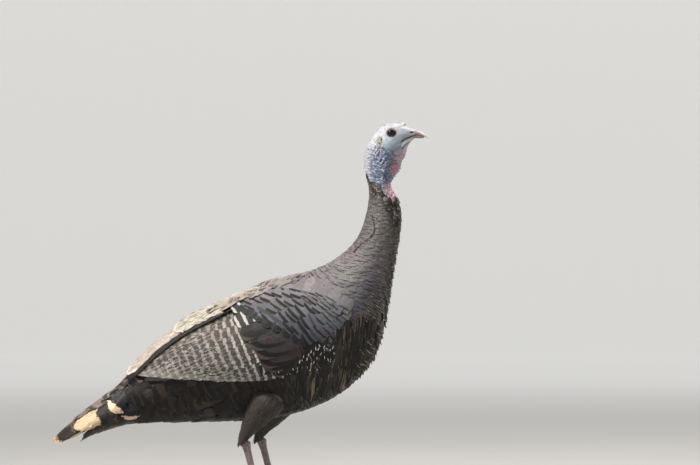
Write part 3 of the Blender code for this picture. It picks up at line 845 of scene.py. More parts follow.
# base, dark (with the band's strength), pale (with the shaft's strength), marks (bars, their share, mottling
# and phase), band (where it starts, where the fringe starts, the fringe's strength and the roundness of both)
LOOKS = {
    "neck": ((0.124, 0.112, 0.11, 1), (0.036, 0.032, 0.033, 0.75), (0.21, 0.19, 0.19, 0.1), (0, 0, 0.3, 0),
             (0.8, 0.955, 0.6, 0.05)),
    "throat": ((0.085, 0.073, 0.066, 1), (0.012, 0.011, 0.01, 0.95), (0.66, 0.58, 0.45, 0.1), (0, 0, 0.3, 0),
               (0.62, 0.86, 1.0, 0.05)),
    "mantle": ((0.166, 0.152, 0.158, 1), (0.036, 0.031, 0.034, 0.75), (0.23, 0.21, 0.21, 0.1), (0, 0, 0.3, 0),
               (0.83, 0.945, 0.6, 0.05)),
    "back": ((0.3, 0.258, 0.225, 1), (0.026, 0.02, 0.018, 0.95), (0.5, 0.44, 0.38, 0.2), (0, 0, 0.8, 0),
             (0.66, 0.91, 0.7, 0.06)),
    "rump": ((0.03, 0.025, 0.024, 1), (0.01, 0.01, 0.013, 0.9), (0.22, 0.135, 0.085, 0.2), (5, 0.12, 0.5, 0),
             (0.66, 0.88, 0.7, 0.7)),
    "breast": ((0.09, 0.078, 0.078, 1), (0.01, 0.009, 0.009, 0.95), (0.56, 0.48, 0.38, 0.1), (0, 0, 0.3, 0),
               (0.62, 0.89, 1.0, 0.04)),
    "keel": ((0.075, 0.064, 0.042, 1), (0.005, 0.004, 0.004, 1.0), (0.42, 0.34, 0.22, 0.1), (0, 0, 0.5, 0),
             (0.66, 0.93, 0.75, 0.05)),
    "belly": ((0.011, 0.0085, 0.0075, 1), (0.003, 0.0026, 0.0028, 0.9), (0.095, 0.056, 0.033, 0.1),
              (0, 0, 0.3, 0), (0.5, 0.92, 0.75, 0.12)),
    # gap: dark vanes laid in the neck's partings, painted shade
    "gap": ((0.014, 0.012, 0.012, 1), (0.006, 0.005, 0.005, 0.5), (0.05, 0.045, 0.045, 0.1), (0, 0, 0.3, 0),
            (0.6, 3, 0, 0.1)),
    "strand": ((0.1, 0.1, 0.1, 1), (0.005, 0.004, 0.004, 0.5), (0.1, 0.085, 0.055, 0.1), (0, 0, 0.4, 0),
               (0.3, 3, 0, 0.1)),
    "primary": ((0.014, 0.012, 0.011, 1), (0.01, 0.01, 0.01, 0), (0.05, 0.04, 0.035, 0.3), (14, 0.3, 0.4, 0),
                (2, 3, 0, 0)),
    "secondary": ((0.046, 0.037, 0.031, 1), (0.06, 0.045, 0.036, 0.0), (0.55, 0.52, 0.47, 0.4),
                  (8, 1, 0.25, 0), (2, 0.95, 0.28, 0.95)),
    # inner: dark brown, darkened further as painted shadow under the tertials
    "inner": ((0.01, 0.008, 0.007, 1), (0.006, 0.005, 0.005, 0.0), (0.1, 0.08, 0.065, 0.3), (0, 0, 0.8, 0),
              (2, 3, 0, 0)),
    "tertial": ((0.4, 0.35, 0.305, 1), (0.085, 0.062, 0.05, 0.0), (0.68, 0.61, 0.53, 0.5), (0, 0, 1.2, 0),
                (0.86, 0.955, 0.85, 0.25)),
    "greater": ((0.036, 0.026, 0.028, 1), (0.005, 0.005, 0.006, 1.0), (0.115, 0.078, 0.066, 0.35),
                (0, 0, 0.2, 0), (0.66, 0.955, 0.6, 0.8)),
    "median": ((0.09, 0.104, 0.128, 1), (0.003, 0.003, 0.004, 1.0), (0.08, 0.08, 0.095, 0.3), (0, 0, 0.2, 0),
               (0.5, 0.955, 0.3, 0.03)),
    "lesser": ((0.13, 0.127, 0.14, 1), (0.003, 0.003, 0.004, 1.0), (0.13, 0.127, 0.14, 0.2), (0, 0, 0.3, 0),
               (0.65, 0.955, 0.6, 0.03)),
    "scapular": ((0.33, 0.285, 0.25, 1), (0.022, 0.018, 0.017, 1.0), (0.5, 0.44, 0.38, 0.3), (0, 0, 0.9, 0),
                 (0.62, 0.9, 0.7, 0.06)),
    "spot": ((0.012, 0.011, 0.01, 1), (0.004, 0.004, 0.004, 0.6), (0.66, 0.63, 0.58, 0.1), (0, 0, 0.3, 0),
             (0.5, 0.8, 1, 0)),
    "fan": ((0.07, 0.04, 0.026, 1), (0.008, 0.007, 0.007, 0.95), (0.62, 0.44, 0.3, 0.4), (30, 0.2, 0.9, 0),
            (0.3, 0.66, 1.0, 0.06)),
    "outer": ((0.04, 0.026, 0.02, 1), (0.007, 0.006, 0.006, 0.95), (0.62, 0.45, 0.3, 0.4), (14, 0.25, 0.9, 0),
              (0.04, 0.34, 1.0, 0.05)),
    "upper": ((0.15, 0.122, 0.102, 1), (0.018, 0.014, 0.013, 0.9), (0.36, 0.29, 0.23, 0.3), (7, 0.16, 0.9, 0),
              (0.7, 0.93, 0.7, 0.12)),
    "side": ((0.022, 0.018, 0.017, 1), (0.006, 0.006, 0.007, 1.0), (0.19, 0.105, 0.06, 0.3), (0, 0, 0.5, 0),
             (0.6, 0.95, 0.7, 0.2)),
    "cream": ((0.014, 0.013, 0.016, 1), (0.006, 0.007, 0.011, 1.0), (0.66, 0.47, 0.33, 0.3), (0, 0, 0.9, 0),
              (0.5, 0.7, 1.0, 0.1)),
    "under": ((0.016, 0.012, 0.01, 1), (0.006, 0.005, 0.005, 0.6), (0.2, 0.12, 0.07, 0.1), (0, 0, 0.3, 0),
              (0.62, 0.9, 0.6, 0.5)),
    "thigh": ((0.034, 0.028, 0.024, 1), (0.01, 0.009, 0.008, 0.4), (0.09, 0.07, 0.05, 0.2), (0, 0, 0.3, 0),
              (0.7, 0.88, 0.6, 0.8)),
}


def zones(a, t):
    """The share of each body look at a place."""
    s = from_back(t)
    left = np.ones(len(a))
    out = {}
    for name, share in (
        ("throat", smooth(8.6, 9.8, a) * smooth(0.365, 0.43, s)),
        ("neck", smooth(9.6, 11.2, a)),
        ("rump", smooth(2.8, 1.6, a) * smooth(0.2, 0.14, s)),
        ("belly", smooth(6.9, 5.6, a) * smooth(0.15, 0.19, s)),
        ("keel", smooth(8.5, 7.6, a) * smooth(0.24, 0.32, s)),
        ("breast", smooth(6.9, 7.8, a) * smooth(0.25, 0.34, s)),
        ("back", smooth(7.0, 4.6, a)),
        ("mantle", 1.0),
    ):
        out[name] = share * left
        left = left - out[name]
    return out


def blend_looks(shares):
    out = {}
    for k, key in enumerate(("base", "dark", "pale", "marks", "band")):
        out[key] = sum(share[:, None] * np.array(LOOKS[name][k], dtype=float)
                       for name, share in shares.items())
    return out


def look(tones, count, spread=0.12, **more):
    """The looks of many feathers of one kind, each with colours of its own."""
    out = {"marks": tones[3], "band": per(tones[4], count, 4), **more}
    for k, key in enumerate(("base", "dark", "pale")):
        out[key] = vary(tones[k], count, spread)
        out[key][:, 3] = tones[k][3]
    return out


def tone(looks, factor, keys=("base",), rows=slice(None)):
    """Multiplies the colours of feathers."""
    for key in keys:
        looks[key][rows, :3] *= factor


def feather_limit(t):
    """The section where the feathers of the neck end: higher on the hindneck than on the throat."""
    s = from_back(t)
    return 13.35 + 2.6 * np.cos(np.pi * s)**2 + 0.22 * np.sin(29 * s + 1.0) + 0.12 * np.sin(61 * s)


def feather_length(a):
    return np.interp(a, [0, 4, 6.5, 8, 9.5, 11, 13, 16],
                     [0.046, 0.042, 0.032, 0.027, 0.021, 0.0155, 0.0125, 0.009])


def cover_body(coat):
    """The small feathers of neck, breast, back, belly and rump."""
    def inside(a, t):
        free = (wing_share(a, t) < 0.5) | (a > 6.9) | (from_back(t) < 0.1)
        return free * smooth(feather_limit(t) + 0.7, feather_limit(t) - 0.5, a)**1.5

    def spacing(a, t):
        s = from_back(t)
        breast = smooth(6.2, 7.4, a) * smooth(13.0, 11.0, a) * smooth(0.24, 0.34, s)
        flank = smooth(6.4, 5.4, a) * smooth(0.15, 0.22, s)
        keel = smooth(6.2, 6.9, a) * smooth(9.0, 8.3, a) * smooth(0.26, 0.34, s)
        return feather_length(a) * (0.185 + 0.085 * breast + 0.05 * flank - 0.1 * keel)

    def wide(a, t):
        low = smooth(6.6, 7.4, a) * smooth(0.26, 0.36, from_back(t))
        return 2.5 + 1.7 * low * smooth(10.6, 9.6, a) + 1.6 * low * smooth(9.0, 8.3, a)

    roots = scatter(body, spacing, inside, 60000, (0.0, 16.6), wide)
    roots = roots[np.argsort(roots[:, 0])]
    a, t = roots.T
    s = from_back(t)
    place = body.at(a, t)
    shares = zones(a + 0.25 * wavy(place, 0.03), t)
    looks = blend_looks(shares)
    count = len(a)
    for key in ("base", "dark", "pale"):
        alpha = looks[key][:, 3].copy()
        looks[key] = vary(looks[key], count, 0.08)
        looks[key][:, 3] = alpha
    # A lilac and bronze cast that drifts over the mantle and the neck, a painted iridescent sheen, and a blue
    # one low on the shoulder.
    painted_sheen_drift = wavy(place, 0.05, 3) * (shares["mantle"] + shares["neck"] + 0.6 * shares["breast"])
    tone(looks, 1 + painted_sheen_drift[:, None] * np.array([0.14, 0.0, 0.12]))
    low = shares["mantle"] * smooth(0.12, 0.26, s)
    tone(looks, 1 - low[:, None] * np.array([0.5, 0.48, 0.4]), ("base", "pale"))
    # Streaks of black, olive brown and buff down the keel.
    streak = RNG.random(count)
    tone(looks, 1 + (shares["keel"] * np.where(streak < 0.42, -0.86, 0.9 * streak - 0.25))[:, None])
    # Black bars on the mantle near the wing, which thin out towards the neck and the breast.
    barred = shares["mantle"] * smooth(9.4, 7.4, a) * (RNG.random(count) < 0.75)
    tone(looks, 1 - 0.75 * barred[:, None], ("dark",))
    looks["dark"][:, 3] += 0.25 * barred
    looks["band"][:, 0] -= 0.05 * barred
    # Ragged dark and whitish little feathers where the bare skin begins.
    last = smooth(feather_limit(t) - 1.8, feather_limit(t) - 0.2, a)
    tone(looks, 1 + 0.45 * (last * RNG.standard_normal(count))[:, None].clip(-1.6, 1.6))
    speck = (RNG.random(count) < 0.6) * last
    bright = RNG.random(count) < 0.36
    collar = np.where(bright[:, None], (0.06, 0.05, 0.042), (0.018, 0.015, 0.013))
    looks["base"][:, :3] = lerp(looks["base"][:, :3], collar, speck[:, None])
    edged = speck * bright
    looks["pale"][:, :3] = lerp(looks["pale"][:, :3], np.array((0.6, 0.51, 0.39)), edged[:, None])
    looks["band"][:, 1] -= 0.13 * edged
    looks["band"][:, 2] = lerp(looks["band"][:, 2], 1.0, edged)
    looks["dark"][:, 3] *= 1 - edged
    # On the flank some feathers are brown, some blue black, and their edges differ.
    soft = shares["belly"]
    flank = soft * RNG.random(count)
    brown = 0.8 * smooth(0.66, 0.98, flank)[:, None]
    looks["base"][:, :3] = lerp(looks["base"][:, :3], np.array((0.044, 0.029, 0.022)), brown)
    looks["band"][:, 2] *= 1 - soft * RNG.random(count)
    looks["gloss"] = 0.1 + 0.2 * (shares["mantle"] + shares["neck"]) + 0.45 * shares["rump"] + 0.5 * flank
    length = feather_length(a) * (1 + 0.08 * RNG.standard_normal(count)).clip(0.75, 1.25) * (1 - 0.1 * last)
    front = smooth(0.34, 0.46, s) * smooth(6.8, 8.0, a) * smooth(15.2, 13.6, a) * (1 - 0.85 * shares["keel"])
    width = length * (0.48 + 0.05 * RNG.standard_normal(count)).clip(0.34, 0.6)
    width = width * (1 - 0.3 * soft - 0.25 * last)
    width *= 1 + 0.55 * (shares["breast"] + shares["keel"])
    top = -0.0004 + 0.00025 * RNG.standard_normal(count) + front * (0.0006 + 0.0018 * RNG.random(count))
    top += last * 0.002 * RNG.random(count)
    # Those under the wing's upper edge lie deep, so that they don't come through the flight feathers.
    top -= 0.007 * smooth(6.8, 6.2, a) * smooth(0.035, 0.05, s) * smooth(0.2, 0.15, s)
    # Towards the belly line from the lie of the body, on both sides alike.
    sway = 0.5 * smooth(0.02, 0.12, s) * smooth(0.32, 0.24, s) * smooth(5.6, 7.0, a) * smooth(11.0, 9.6, a)
    heading = 0.07 * RNG.standard_normal(count) * (1 + soft) + 0.12 * wavy(place, 0.04, 5)
    heading -= np.where(t < 0.5, 1, -1) * sway
    for pick, shape, ragged in ((soft < 0.5, blunt, 0.03), (soft >= 0.5, contour, 0.08)):
        for small in (False, True):
            here = pick & ((a > 10.2) == small)
            if not here.any():
                continue
            vanes(coat, body, roots[here], length[here], width[here],
                {k: w[here] for k, w in looks.items()}, heading=heading[here], rows=7 if small else 9,
                cols=7, shape=shape, top=top[here], depth=0.055 * length[here] + 0.0005, cup=0.05,
                ragged=ragged, curl=-0.02 - 0.24 * front[here], wing=wing_lift,
                drape=smooth(6.8, 7.3, a[here]), tilt=0.0003 * RNG.standard_normal(np.count_nonzero(here)))


def both_sides(coat, root, tip, width, looks, surface=body, wing=wing_lift, **more):
    """Lays the same vanes on both sides."""
    for mirror in (False, True):
        vanes(coat, surface, root, 0.0, width, looks, tip=tip, mirror=mirror, wing=wing, **more)


def part_neck(coat):
    """Thin dark vanes where the neck's feathers part, on its sides: painted shade in the partings."""
    line = np.array([(0.203, 0.472), (0.211, 0.4815), (0.221, 0.4905), (0.232, 0.4985), (0.24, 0.505),
                     (0.2425, 0.517), (0.24, 0.53), (0.2375, 0.542)])
    width = 0.0009 + 0.0008 * RNG.random(len(line) - 1)
    both_sides(coat, body.locate(line[1:]), body.locate(line[:-1]), width, look(LOOKS["gap"], len(width)),
        rows=7, cols=5, shape=pointed, top=0.0008, depth=0.0006, ragged=0.15)


def lay_covert(coat, tips, ahead, length, width, looks, **more):
    """Coverts whose tips lie at places of the side view and which point along directions of it."""
    tips = np.array(tips, dtype=float)
    root = tips - unit(np.array(ahead, dtype=float)) * np.asarray(length).reshape(-1, 1)
    both_sides(coat, body.locate(root), body.locate(tips), width, looks, **more)


def streak_keel(coat):
    """Long loose strands of black, olive and buff that hang down the keel."""
    count = 430
    z = RNG.uniform(0.205, 0.322, count)
    front = np.interp(z, [0.19, 0.22, 0.272, 0.323, 0.385], [0.122, 0.184, 0.234, 0.256, 0.268])
    back = np.where(z < 0.262, 0.1, 0.168)
    share = RNG.random(count)
    x = back + (front - 0.0045 - back) * share
    lean = np.stack([-0.04 - 0.26 * share**2 + 0.05 * RNG.standard_normal(count), np.full(count, -1.0)], -1)
    order = np.argsort(z)
    x, z, lean = x[order], z[order], lean[order]
    kind = RNG.random(count)
    # Black, olive, blue black and buff.
    colours = np.array([(0.006, 0.0052, 0.005), (0.046, 0.039, 0.025), (0.022, 0.024, 0.03),
                        (0.175, 0.128, 0.078)])
    colour = colours[np.searchsorted([0.46, 0.74, 0.86], kind, side="right")]
    looks = look(LOOKS["strand"], count, 0.1, gloss=0.12)
    looks["base"][:, :3] = colour * RNG.uniform(0.7, 1.3, count)[:, None]
    looks["dark"][:, 3] = 0.5 * (kind < 0.86)
    lay_covert(coat, np.stack([x, z], -1), lean, RNG.uniform(0.03, 0.046, count),
        np.where(kind < 0.86, RNG.uniform(0.0018, 0.0034, count), 0.0013), looks, rows=8, cols=5,
        shape=pointed, top=RNG.uniform(0.0008, 0.002, count), depth=0.001, cup=0.2, ragged=0.15)


# place on the folded wing, and the direction its small coverts point in
LIE = [((0.03, 0.37), (-0.63, -0.78)), ((0.11, 0.34), (-0.84, -0.54)), ((0.12, 0.405), (-0.45, -0.89)),
       ((0.165, 0.385), (-0.52, -0.85)), ((0.165, 0.34), (-0.66, -0.75)), ((0.06, 0.41), (-0.55, -0.83))]


def lie_at(places):
    out = np.zeros((len(places), 2))
    for spot, ahead in LIE:
        away = np.linalg.norm(places - np.array(spot), axis=1)
        out += np.array(ahead) / (away**2 + 0.0003)[:, None]
    return unit(out)


# The line where the secondaries come out from under their coverts.
COVERT_LINE = [(-0.012, 0.372), (0.000, 0.348), (0.014, 0.322), (0.03, 0.293), (0.045, 0.262)]
# The distance from bar to bar on the secondaries.
BAR_PITCH = 0.014


def crossing(root, tip):
    """How far along each feather it crosses the covert line."""
    share = np.linspace(0, 1, 200)
    out = np.empty(len(root))
    for k in range(len(root)):
        x, z = lerp(root[k][:, None], tip[k][:, None], share)
        away, _ = to_line(x, z, COVERT_LINE)
        out[k] = share[np.argmin(away)] * np.linalg.norm(tip[k] - root[k])
    return out


def rows_of_tips(rows):
    """Evenly spaced places on lines given by start, end and count."""
    return [np.linspace(start, end, count) for start, end, count in rows]


def lay_flight_feathers(coat):
    """Primaries, secondaries fanned out from under their coverts, and tertials along the back."""
    def lay(root, tip, width, looks, **more):
        both_sides(coat, body.locate(root), body.locate(tip), width, looks, shape=flight, patch=0.01, **more)

    # Primaries, mostly hidden.
    count = 4
    root = np.linspace((0.05, 0.262), (0.03, 0.275), count)
    tip = np.linspace((-0.19, 0.252), (-0.15, 0.254), count)
    lay(root, tip, 0.01, look(LOOKS["primary"], count), rows=30, top=-0.0045, depth=0.001, tilt=-0.0008,
        cup=0.05, ragged=0.02)
    # Secondaries: each inner one lies over the next outer one. Their bars line up across the wing.
    count = 15
    k = np.linspace(0, 1, count)
    root = path(k, [0, 0.5, 1], [0.078, 0.068, 0.028], [0.262, 0.318, 0.38])
    tip = path(k, [0, 0.2, 0.45, 0.75, 1], [-0.01, -0.07, -0.13, -0.176, -0.194],
               [0.256, 0.256, 0.255, 0.253, 0.254])
    looks = look(LOOKS["secondary"], count, 0.1, fade=np.interp(k, [0, 0.5, 1], [0.7, 0.84, 1.0]))
    tone(looks, np.interp(k, [0, 0.3, 1], [1.12, 0.95, 0.88])[:, None], ("pale",))
    phase = 0.5 - crossing(root, tip) / BAR_PITCH + 0.1 * RNG.standard_normal(count)
    share = np.interp(k, [0, 0.65, 0.85, 1], [0.97, 0.97, 0.6, 0.25])
    bars = np.linalg.norm(tip - root, axis=1) / BAR_PITCH
    looks["marks"] = np.stack([bars, share, np.full(count, 0.22), phase], -1)
    lay(root, tip, np.interp(k, [0, 0.2, 0.5], [0.013, 0.015, 0.018]), looks, rows=36, cols=11,
        top=np.interp(k, [0, 0.75, 0.9, 1], [-0.0022, -0.0028, -0.0046, -0.006]), depth=0.0005,
        tilt=-0.0018, cup=0.05, ragged=0.04)
    # The dark innermost secondary under the tertials: partly its own dark brown web, partly painted shadow
    # under the tertials' lower edge.
    lay([(0.02, 0.386)], [(-0.2, 0.243)], 0.0125, look(LOOKS["inner"], 1), rows=34, top=0.0005, depth=0.0003,
        cup=0.02, ragged=0.02)
    # Long pale tertials.
    looks = look(LOOKS["tertial"], 5, 0.06, fade=np.array([0.55, 0.7, 0.85, 0.95, 1.0]))
    lay([(0.028, 0.393), (0.032, 0.4), (0.038, 0.404), (0.042, 0.406), (0.044, 0.404)],
        [(-0.199, 0.25), (-0.161, 0.299), (-0.112, 0.326), (-0.07, 0.356), (-0.035, 0.374)],
        np.array([0.012, 0.015, 0.0165, 0.0165, 0.0155]), looks, rows=34, cols=11,
        top=np.array([0.0018, 0.0027, 0.0033, 0.0038, 0.0042]), depth=0.001, cup=0.03, ragged=0.08)


def lay_large_coverts(coat):
    # Greater coverts: dark bronze with a black end, and the upper three black with white bars.
    tips = [(0.06, 0.2575), (0.05, 0.269), (0.038, 0.28), (0.03, 0.298), (0.02, 0.311), (0.004, 0.324),
            (-0.004, 0.342), (-0.01, 0.362), (-0.02, 0.376)]
    ahead = [(-0.86, -0.5), (-0.86, -0.5), (-0.95, -0.32), (-0.96, -0.26), (-0.96, -0.26), (-0.92, -0.38),
             (-0.9, -0.43), (-0.84, -0.54), (-0.8, -0.6)]
    looks = look(LOOKS["greater"], 9, 0.05, gloss=np.repeat([0.7, 0.2], [5, 4]))
    tone(looks, 0.55, rows=slice(2))
    tone(looks, np.array([0.5, 0.6, 0.66]), rows=slice(5, None))
    looks["band"][5:, 0] = 0.45
    looks["marks"] = np.repeat([(0.0, 0.0, 0.2, 0.0), (5.2, 0.85, 0.3, 0.35)], [6, 3], axis=0)
    looks["pale"][6:, :3] = (0.5, 0.48, 0.44)
    looks["band"][6:, 2] = looks["dark"][6:, 3] = 0.0
    lay_covert(coat, tips, ahead, [0.075, 0.082, 0.092, 0.098, 0.095, 0.08, 0.075, 0.07, 0.066],
        [0.0125, 0.014, 0.017, 0.019, 0.018, 0.0165, 0.015, 0.0135, 0.012], looks, rows=24, cols=13,
        shape=blunt, top=np.linspace(0.0004, 0.001, 9), depth=0.0024, tilt=-0.0006, cup=0.04, patch=0.006,
        ragged=0.02)
    # Median coverts: narrow and blue grey, over a broad black end.
    count = 10
    k = np.linspace(0, 1, count)
    tips = path(k, [0, 0.5, 1], [-0.01, 0.038, 0.108], [0.37, 0.343, 0.312])
    looks = look(LOOKS["median"], count, 0.12, gloss=0.25)
    tone(looks, np.interp(k, [0, 0.5, 1], [1.25, 1.0, 0.62])[:, None])
    looks["band"][:, 0] = RNG.uniform(0.36, 0.56, count)
    lay_covert(coat, tips, np.linspace((-0.6, -0.8), (-0.76, -0.65), count), 0.044, lerp(0.0085, 0.0125, k),
        looks, rows=18, cols=11, shape=blunt, top=np.linspace(0.0008, 0.0014, count), depth=0.0022,
        tilt=-0.0004, cup=0.04, patch=0.004, ragged=0.02)


def lay_small_coverts(coat):
    # Lesser coverts, in staggered rows towards the bend.
    tips = np.concatenate([row + 0.0018 * RNG.standard_normal(row.shape) for row in rows_of_tips((
        ((-0.004, 0.379), (0.066, 0.336), 4), ((0.000, 0.386), (0.11, 0.319), 6),
        ((0.014, 0.391), (0.118, 0.322), 6), ((0.022, 0.397), (0.132, 0.324), 6),
        ((0.036, 0.402), (0.138, 0.329), 6), ((0.048, 0.402), (0.15, 0.334), 6),
        ((0.07, 0.401), (0.158, 0.339), 6), ((0.084, 0.3995), (0.168, 0.343), 6),
        ((0.1, 0.399), (0.176, 0.351), 6), ((0.112, 0.3985), (0.182, 0.357), 6),
        ((0.128, 0.397), (0.186, 0.364), 6), ((0.142, 0.396), (0.19, 0.371), 5)))])
    count = len(tips)
    x, z = tips.T
    looks = look(LOOKS["lesser"], count, 0.1, gloss=0.15)
    height = smooth(0.325, 0.405, z)
    tone(looks, lerp(np.array([0.44, 0.5, 0.58]), np.array([1.36, 1.27, 1.21]), height[:, None]),
        ("base", "pale"))
    # The bands of a row line up as long dashes across it.
    looks["band"][:, 0] = RNG.uniform(0.58, 0.72, count) + 0.1 * height
    # Past the bend the bands thin out into the plain shoulder, and here and there one is missing.
    thin = smooth(0.11, 0.19, x)
    looks["dark"][:, 3] = (1 - 0.2 * thin) * (1 - 0.4 * (RNG.random(count) < 0.15))
    looks["band"][:, 0] += (0.8 - looks["band"][:, 0]) * smooth(0.11, 0.17, x)
    lay_covert(coat, tips, lie_at(tips) + 0.06 * RNG.standard_normal(tips.shape), 0.036 - 0.014 * thin,
               (0.0145 + 0.002 * RNG.random(count)) * (1 - 0.35 * thin), looks, rows=13, cols=11, shape=blunt,
               top=0.0008 + 0.001 * smooth(0.0, 0.19, x), depth=0.0019, tilt=-0.0003, cup=0.04, ragged=0.02)
    # Scapulars: cream brown with a short black end, from the back down over the wing's root.
    tips = np.concatenate(rows_of_tips((((-0.07, 0.36), (0.062, 0.418), 15),
        ((-0.045, 0.364), (0.084, 0.42), 15), ((-0.02, 0.374), (0.104, 0.425), 15))))
    count = len(tips)
    tips += RNG.standard_normal(tips.shape) * np.array([0.006, 0.003])
    x, z = tips.T
    looks = look(LOOKS["scapular"], count, gloss=0.2)
    looks["dark"][:, 3] = RNG.uniform(0.5, 1.0, count)
    tone(looks, RNG.uniform(0.6, 2.4, count)[:, None], ("dark",))
    for column, lo, hi in ((0, 0.1, 0.55), (1, 0.8, 1.00), (3, -2.0, -0.5)):
        looks["band"][:, column] = RNG.uniform(lo, hi, count)
    tone(looks, lerp(np.ones(3), np.array([0.56, 0.58, 0.68]), smooth(-0.02, 0.095, x)[:, None]),
        ("base", "pale"))
    lay_covert(coat, tips, np.array((-0.8, -0.6)) + 0.16 * RNG.standard_normal(tips.shape), 0.036,
        RNG.uniform(0.005, 0.0085, count), looks, shape=blunt,
        top=lerp(0.0052, 0.0012, smooth(0.03, 0.1, x)), depth=0.0024, tilt=-0.0003, cup=0.06)
    # Small black feathers with a white mark at the tip, under the bend.
    tips = np.concatenate(rows_of_tips((
        ((0.124, 0.3), (0.156, 0.306), 7), ((0.118, 0.29), (0.164, 0.299), 10),
        ((0.114, 0.281), (0.168, 0.29), 12), ((0.108, 0.273), (0.166, 0.282), 13),
        ((0.096, 0.266), (0.16, 0.274), 14), ((0.066, 0.259), (0.152, 0.266), 18),
        ((0.04, 0.255), (0.146, 0.26), 18))))
    count = len(tips)
    tips += 0.0018 * RNG.standard_normal(tips.shape)
    looks = look(LOOKS["spot"], count, 0.15)
    looks["band"] = np.stack([np.full(count, 0.2), RNG.uniform(0.34, 0.62, count), RNG.random(count) < 0.7,
                              RNG.uniform(-2.8, -1.0, count)], -1)
    lay_covert(coat, tips, np.array((-0.15, -0.98)) + 0.34 * RNG.standard_normal(tips.shape), 0.022,
               0.0026 + 0.0022 * RNG.random(count), looks, rows=11, shape=pointed, top=0.0012, depth=0.0022,
               tilt=-0.0004, ragged=0.2)


def cover_tail(coat):
    """Nine pairs of tail feathers, the middle pair on top, and the coverts over and under them."""
    def lay(root, tip, width, looks, **more):
        both_sides(coat, root, tip, width, looks, surface=tail, wing=None, patch=0.008, **more)

    def lay_row(name, at, spread, turn, back, width, variation, gloss, base, gain, **more):
        """Coverts of one row, whose tips lie a little unevenly at a section and whose roots lie before it."""
        tip = np.stack([at + spread * RNG.random(len(turn)), turn], -1)
        looks = look(LOOKS[name], len(turn), variation, gloss=gloss)
        lay(tip - np.array([back, 0.0]), tip, width, looks, top=base + gain * RNG.random(len(turn)), **more)

    pairs = 9
    k = np.arange(pairs)
    turn = 0.014 + 0.026 * k
    tip = np.stack([np.array([4.02, 4.00, 3.97, 3.93, 3.87, 3.75, 3.45, 3.1, 2.92]), turn], -1)
    looks = look(LOOKS["fan"], pairs, 0.08)
    looks["band"][:] = np.where((k > 6)[:, None], (0.3, 0.58, 1.0, 0.06), (0.45, 0.84, 1.0, 0.06))
    lay(np.stack([np.full(pairs, -0.8), turn * 0.8], -1), tip, 0.0205, looks, rows=40, cols=13, shape=flight,
        top=-0.0006 - 0.00055 * k, depth=-0.0005, tilt=-0.0007, cup=0.06, ragged=0.03)
    # The outermost tail feather, which shows its whole end.
    lay(tail.locate([(-0.165, 0.206)]), tail.locate([(-0.296, 0.159)]), 0.018,
        look(LOOKS["outer"], 1, 0.02, gloss=0.3), rows=36, cols=15, shape=flight, top=0.001, depth=0.0014,
        cup=0.05, ragged=0.09)
    # Upper coverts: grey brown, finely barred, with a dark end and a pale edge.
    for at, last, count, width in ((2.1, 0.06, 3, 0.0105), (1.4, 0.09, 4, 0.012), (0.7, 0.11, 5, 0.013),
            (0.0, 0.14, 6, 0.013)):
        lay_row("upper", at, 0.2, np.linspace(0.012, last, count), 1.7, width, 0.12, 0.2, 0.0016, 0.0005,
            rows=16, cols=11, ragged=0.06)
    # Side coverts: dark, with thin cinnamon edges.
    for at, turns in ((1.1, (0.3, 0.38)), (0.4, (0.16, 0.24, 0.32, 0.4)), (-0.3, (0.2, 0.3, 0.4))):
        lay_row("side", at, 0.25, np.array(turns), 1.6, 0.015, 0.1, 0.5, 0.0006, 0.0008, rows=18, cols=11,
            ragged=0.04)
    # The longest side coverts: broad and blue black, with a wide cream end.
    looks = look(LOOKS["cream"], 3, 0.05, gloss=0.7)
    looks["band"][:] = (0.5, 0.93, 0.6, 0.1), (0.35, 0.72, 1.0, 0.1), (0.35, 0.68, 1.0, 0.1)
    lay(tail.locate([(-0.16, 0.226), (-0.17, 0.226), (-0.196, 0.233)]),
        tail.locate([(-0.236, 0.214), (-0.196, 0.174), (-0.231, 0.188)]), [0.013, 0.02, 0.0205], looks,
        rows=24, cols=15, top=[0.0026, 0.0032, 0.004], cup=0.04, ragged=0.1)
    # Under the tail: dark, loose, with brown edges.
    for at in (-0.3, 0.3, 0.9, 1.5, 2.1):
        lay_row("under", at, 0.35, np.linspace(0.3 + 0.02 * at, 0.49, 6), 1.25, 0.0115, 0.15, 0.2, 0.0004,
            -0.0012, depth=0.0035, cup=0.12, ragged=0.08)


def cover_thighs(coat):
    for side in ("left", "right"):
        thigh = thigh_surface(side)
        roots = scatter(thigh, lambda a, t: 0.0052 + 0 * a, lambda a, t: a < 2.97, 4600, (0.4, 3.0))
        count = len(roots)
        a = roots[:, 0]
        looks = look(LOOKS["thigh"], count)
        length = np.interp(a, [0, 2, 3], [0.024, 0.02, 0.015])
        # The thigh's sections run down towards the hock, so its feathers point the other way along them.
        vanes(coat, thigh, roots, length, length * 0.3, looks,
            heading=math.pi + 0.12 * RNG.standard_normal(count), rows=9, cols=7, shape=pointed,
            top=np.interp(a, [2.2, 2.9], [-0.0004, 0.004]),
            depth=np.interp(a, [2.2, 2.9], [0.0026, 0.0062]), cup=0.12, ragged=0.12)


# --- skin --------------------------------------------------------------------------------------------------

# Lines and spots of the head and the bare neck, in the side view, before the shift.
GAPE = [(0.317, 0.6833), (0.3083, 0.6809), (0.2963, 0.6762), (0.2902, 0.671)]
JAW_LINE = [(0.306, 0.6722), (0.2985, 0.6668), (0.2915, 0.659)]
JOWL = [(0.2505, 0.669), (0.256, 0.6575), (0.267, 0.652), (0.28, 0.6555), (0.289, 0.664)]
NECK_CLEFT = [(0.2556, 0.661), (0.249, 0.649), (0.2545, 0.637), (0.263, 0.624), (0.26, 0.611), (0.264, 0.598)]
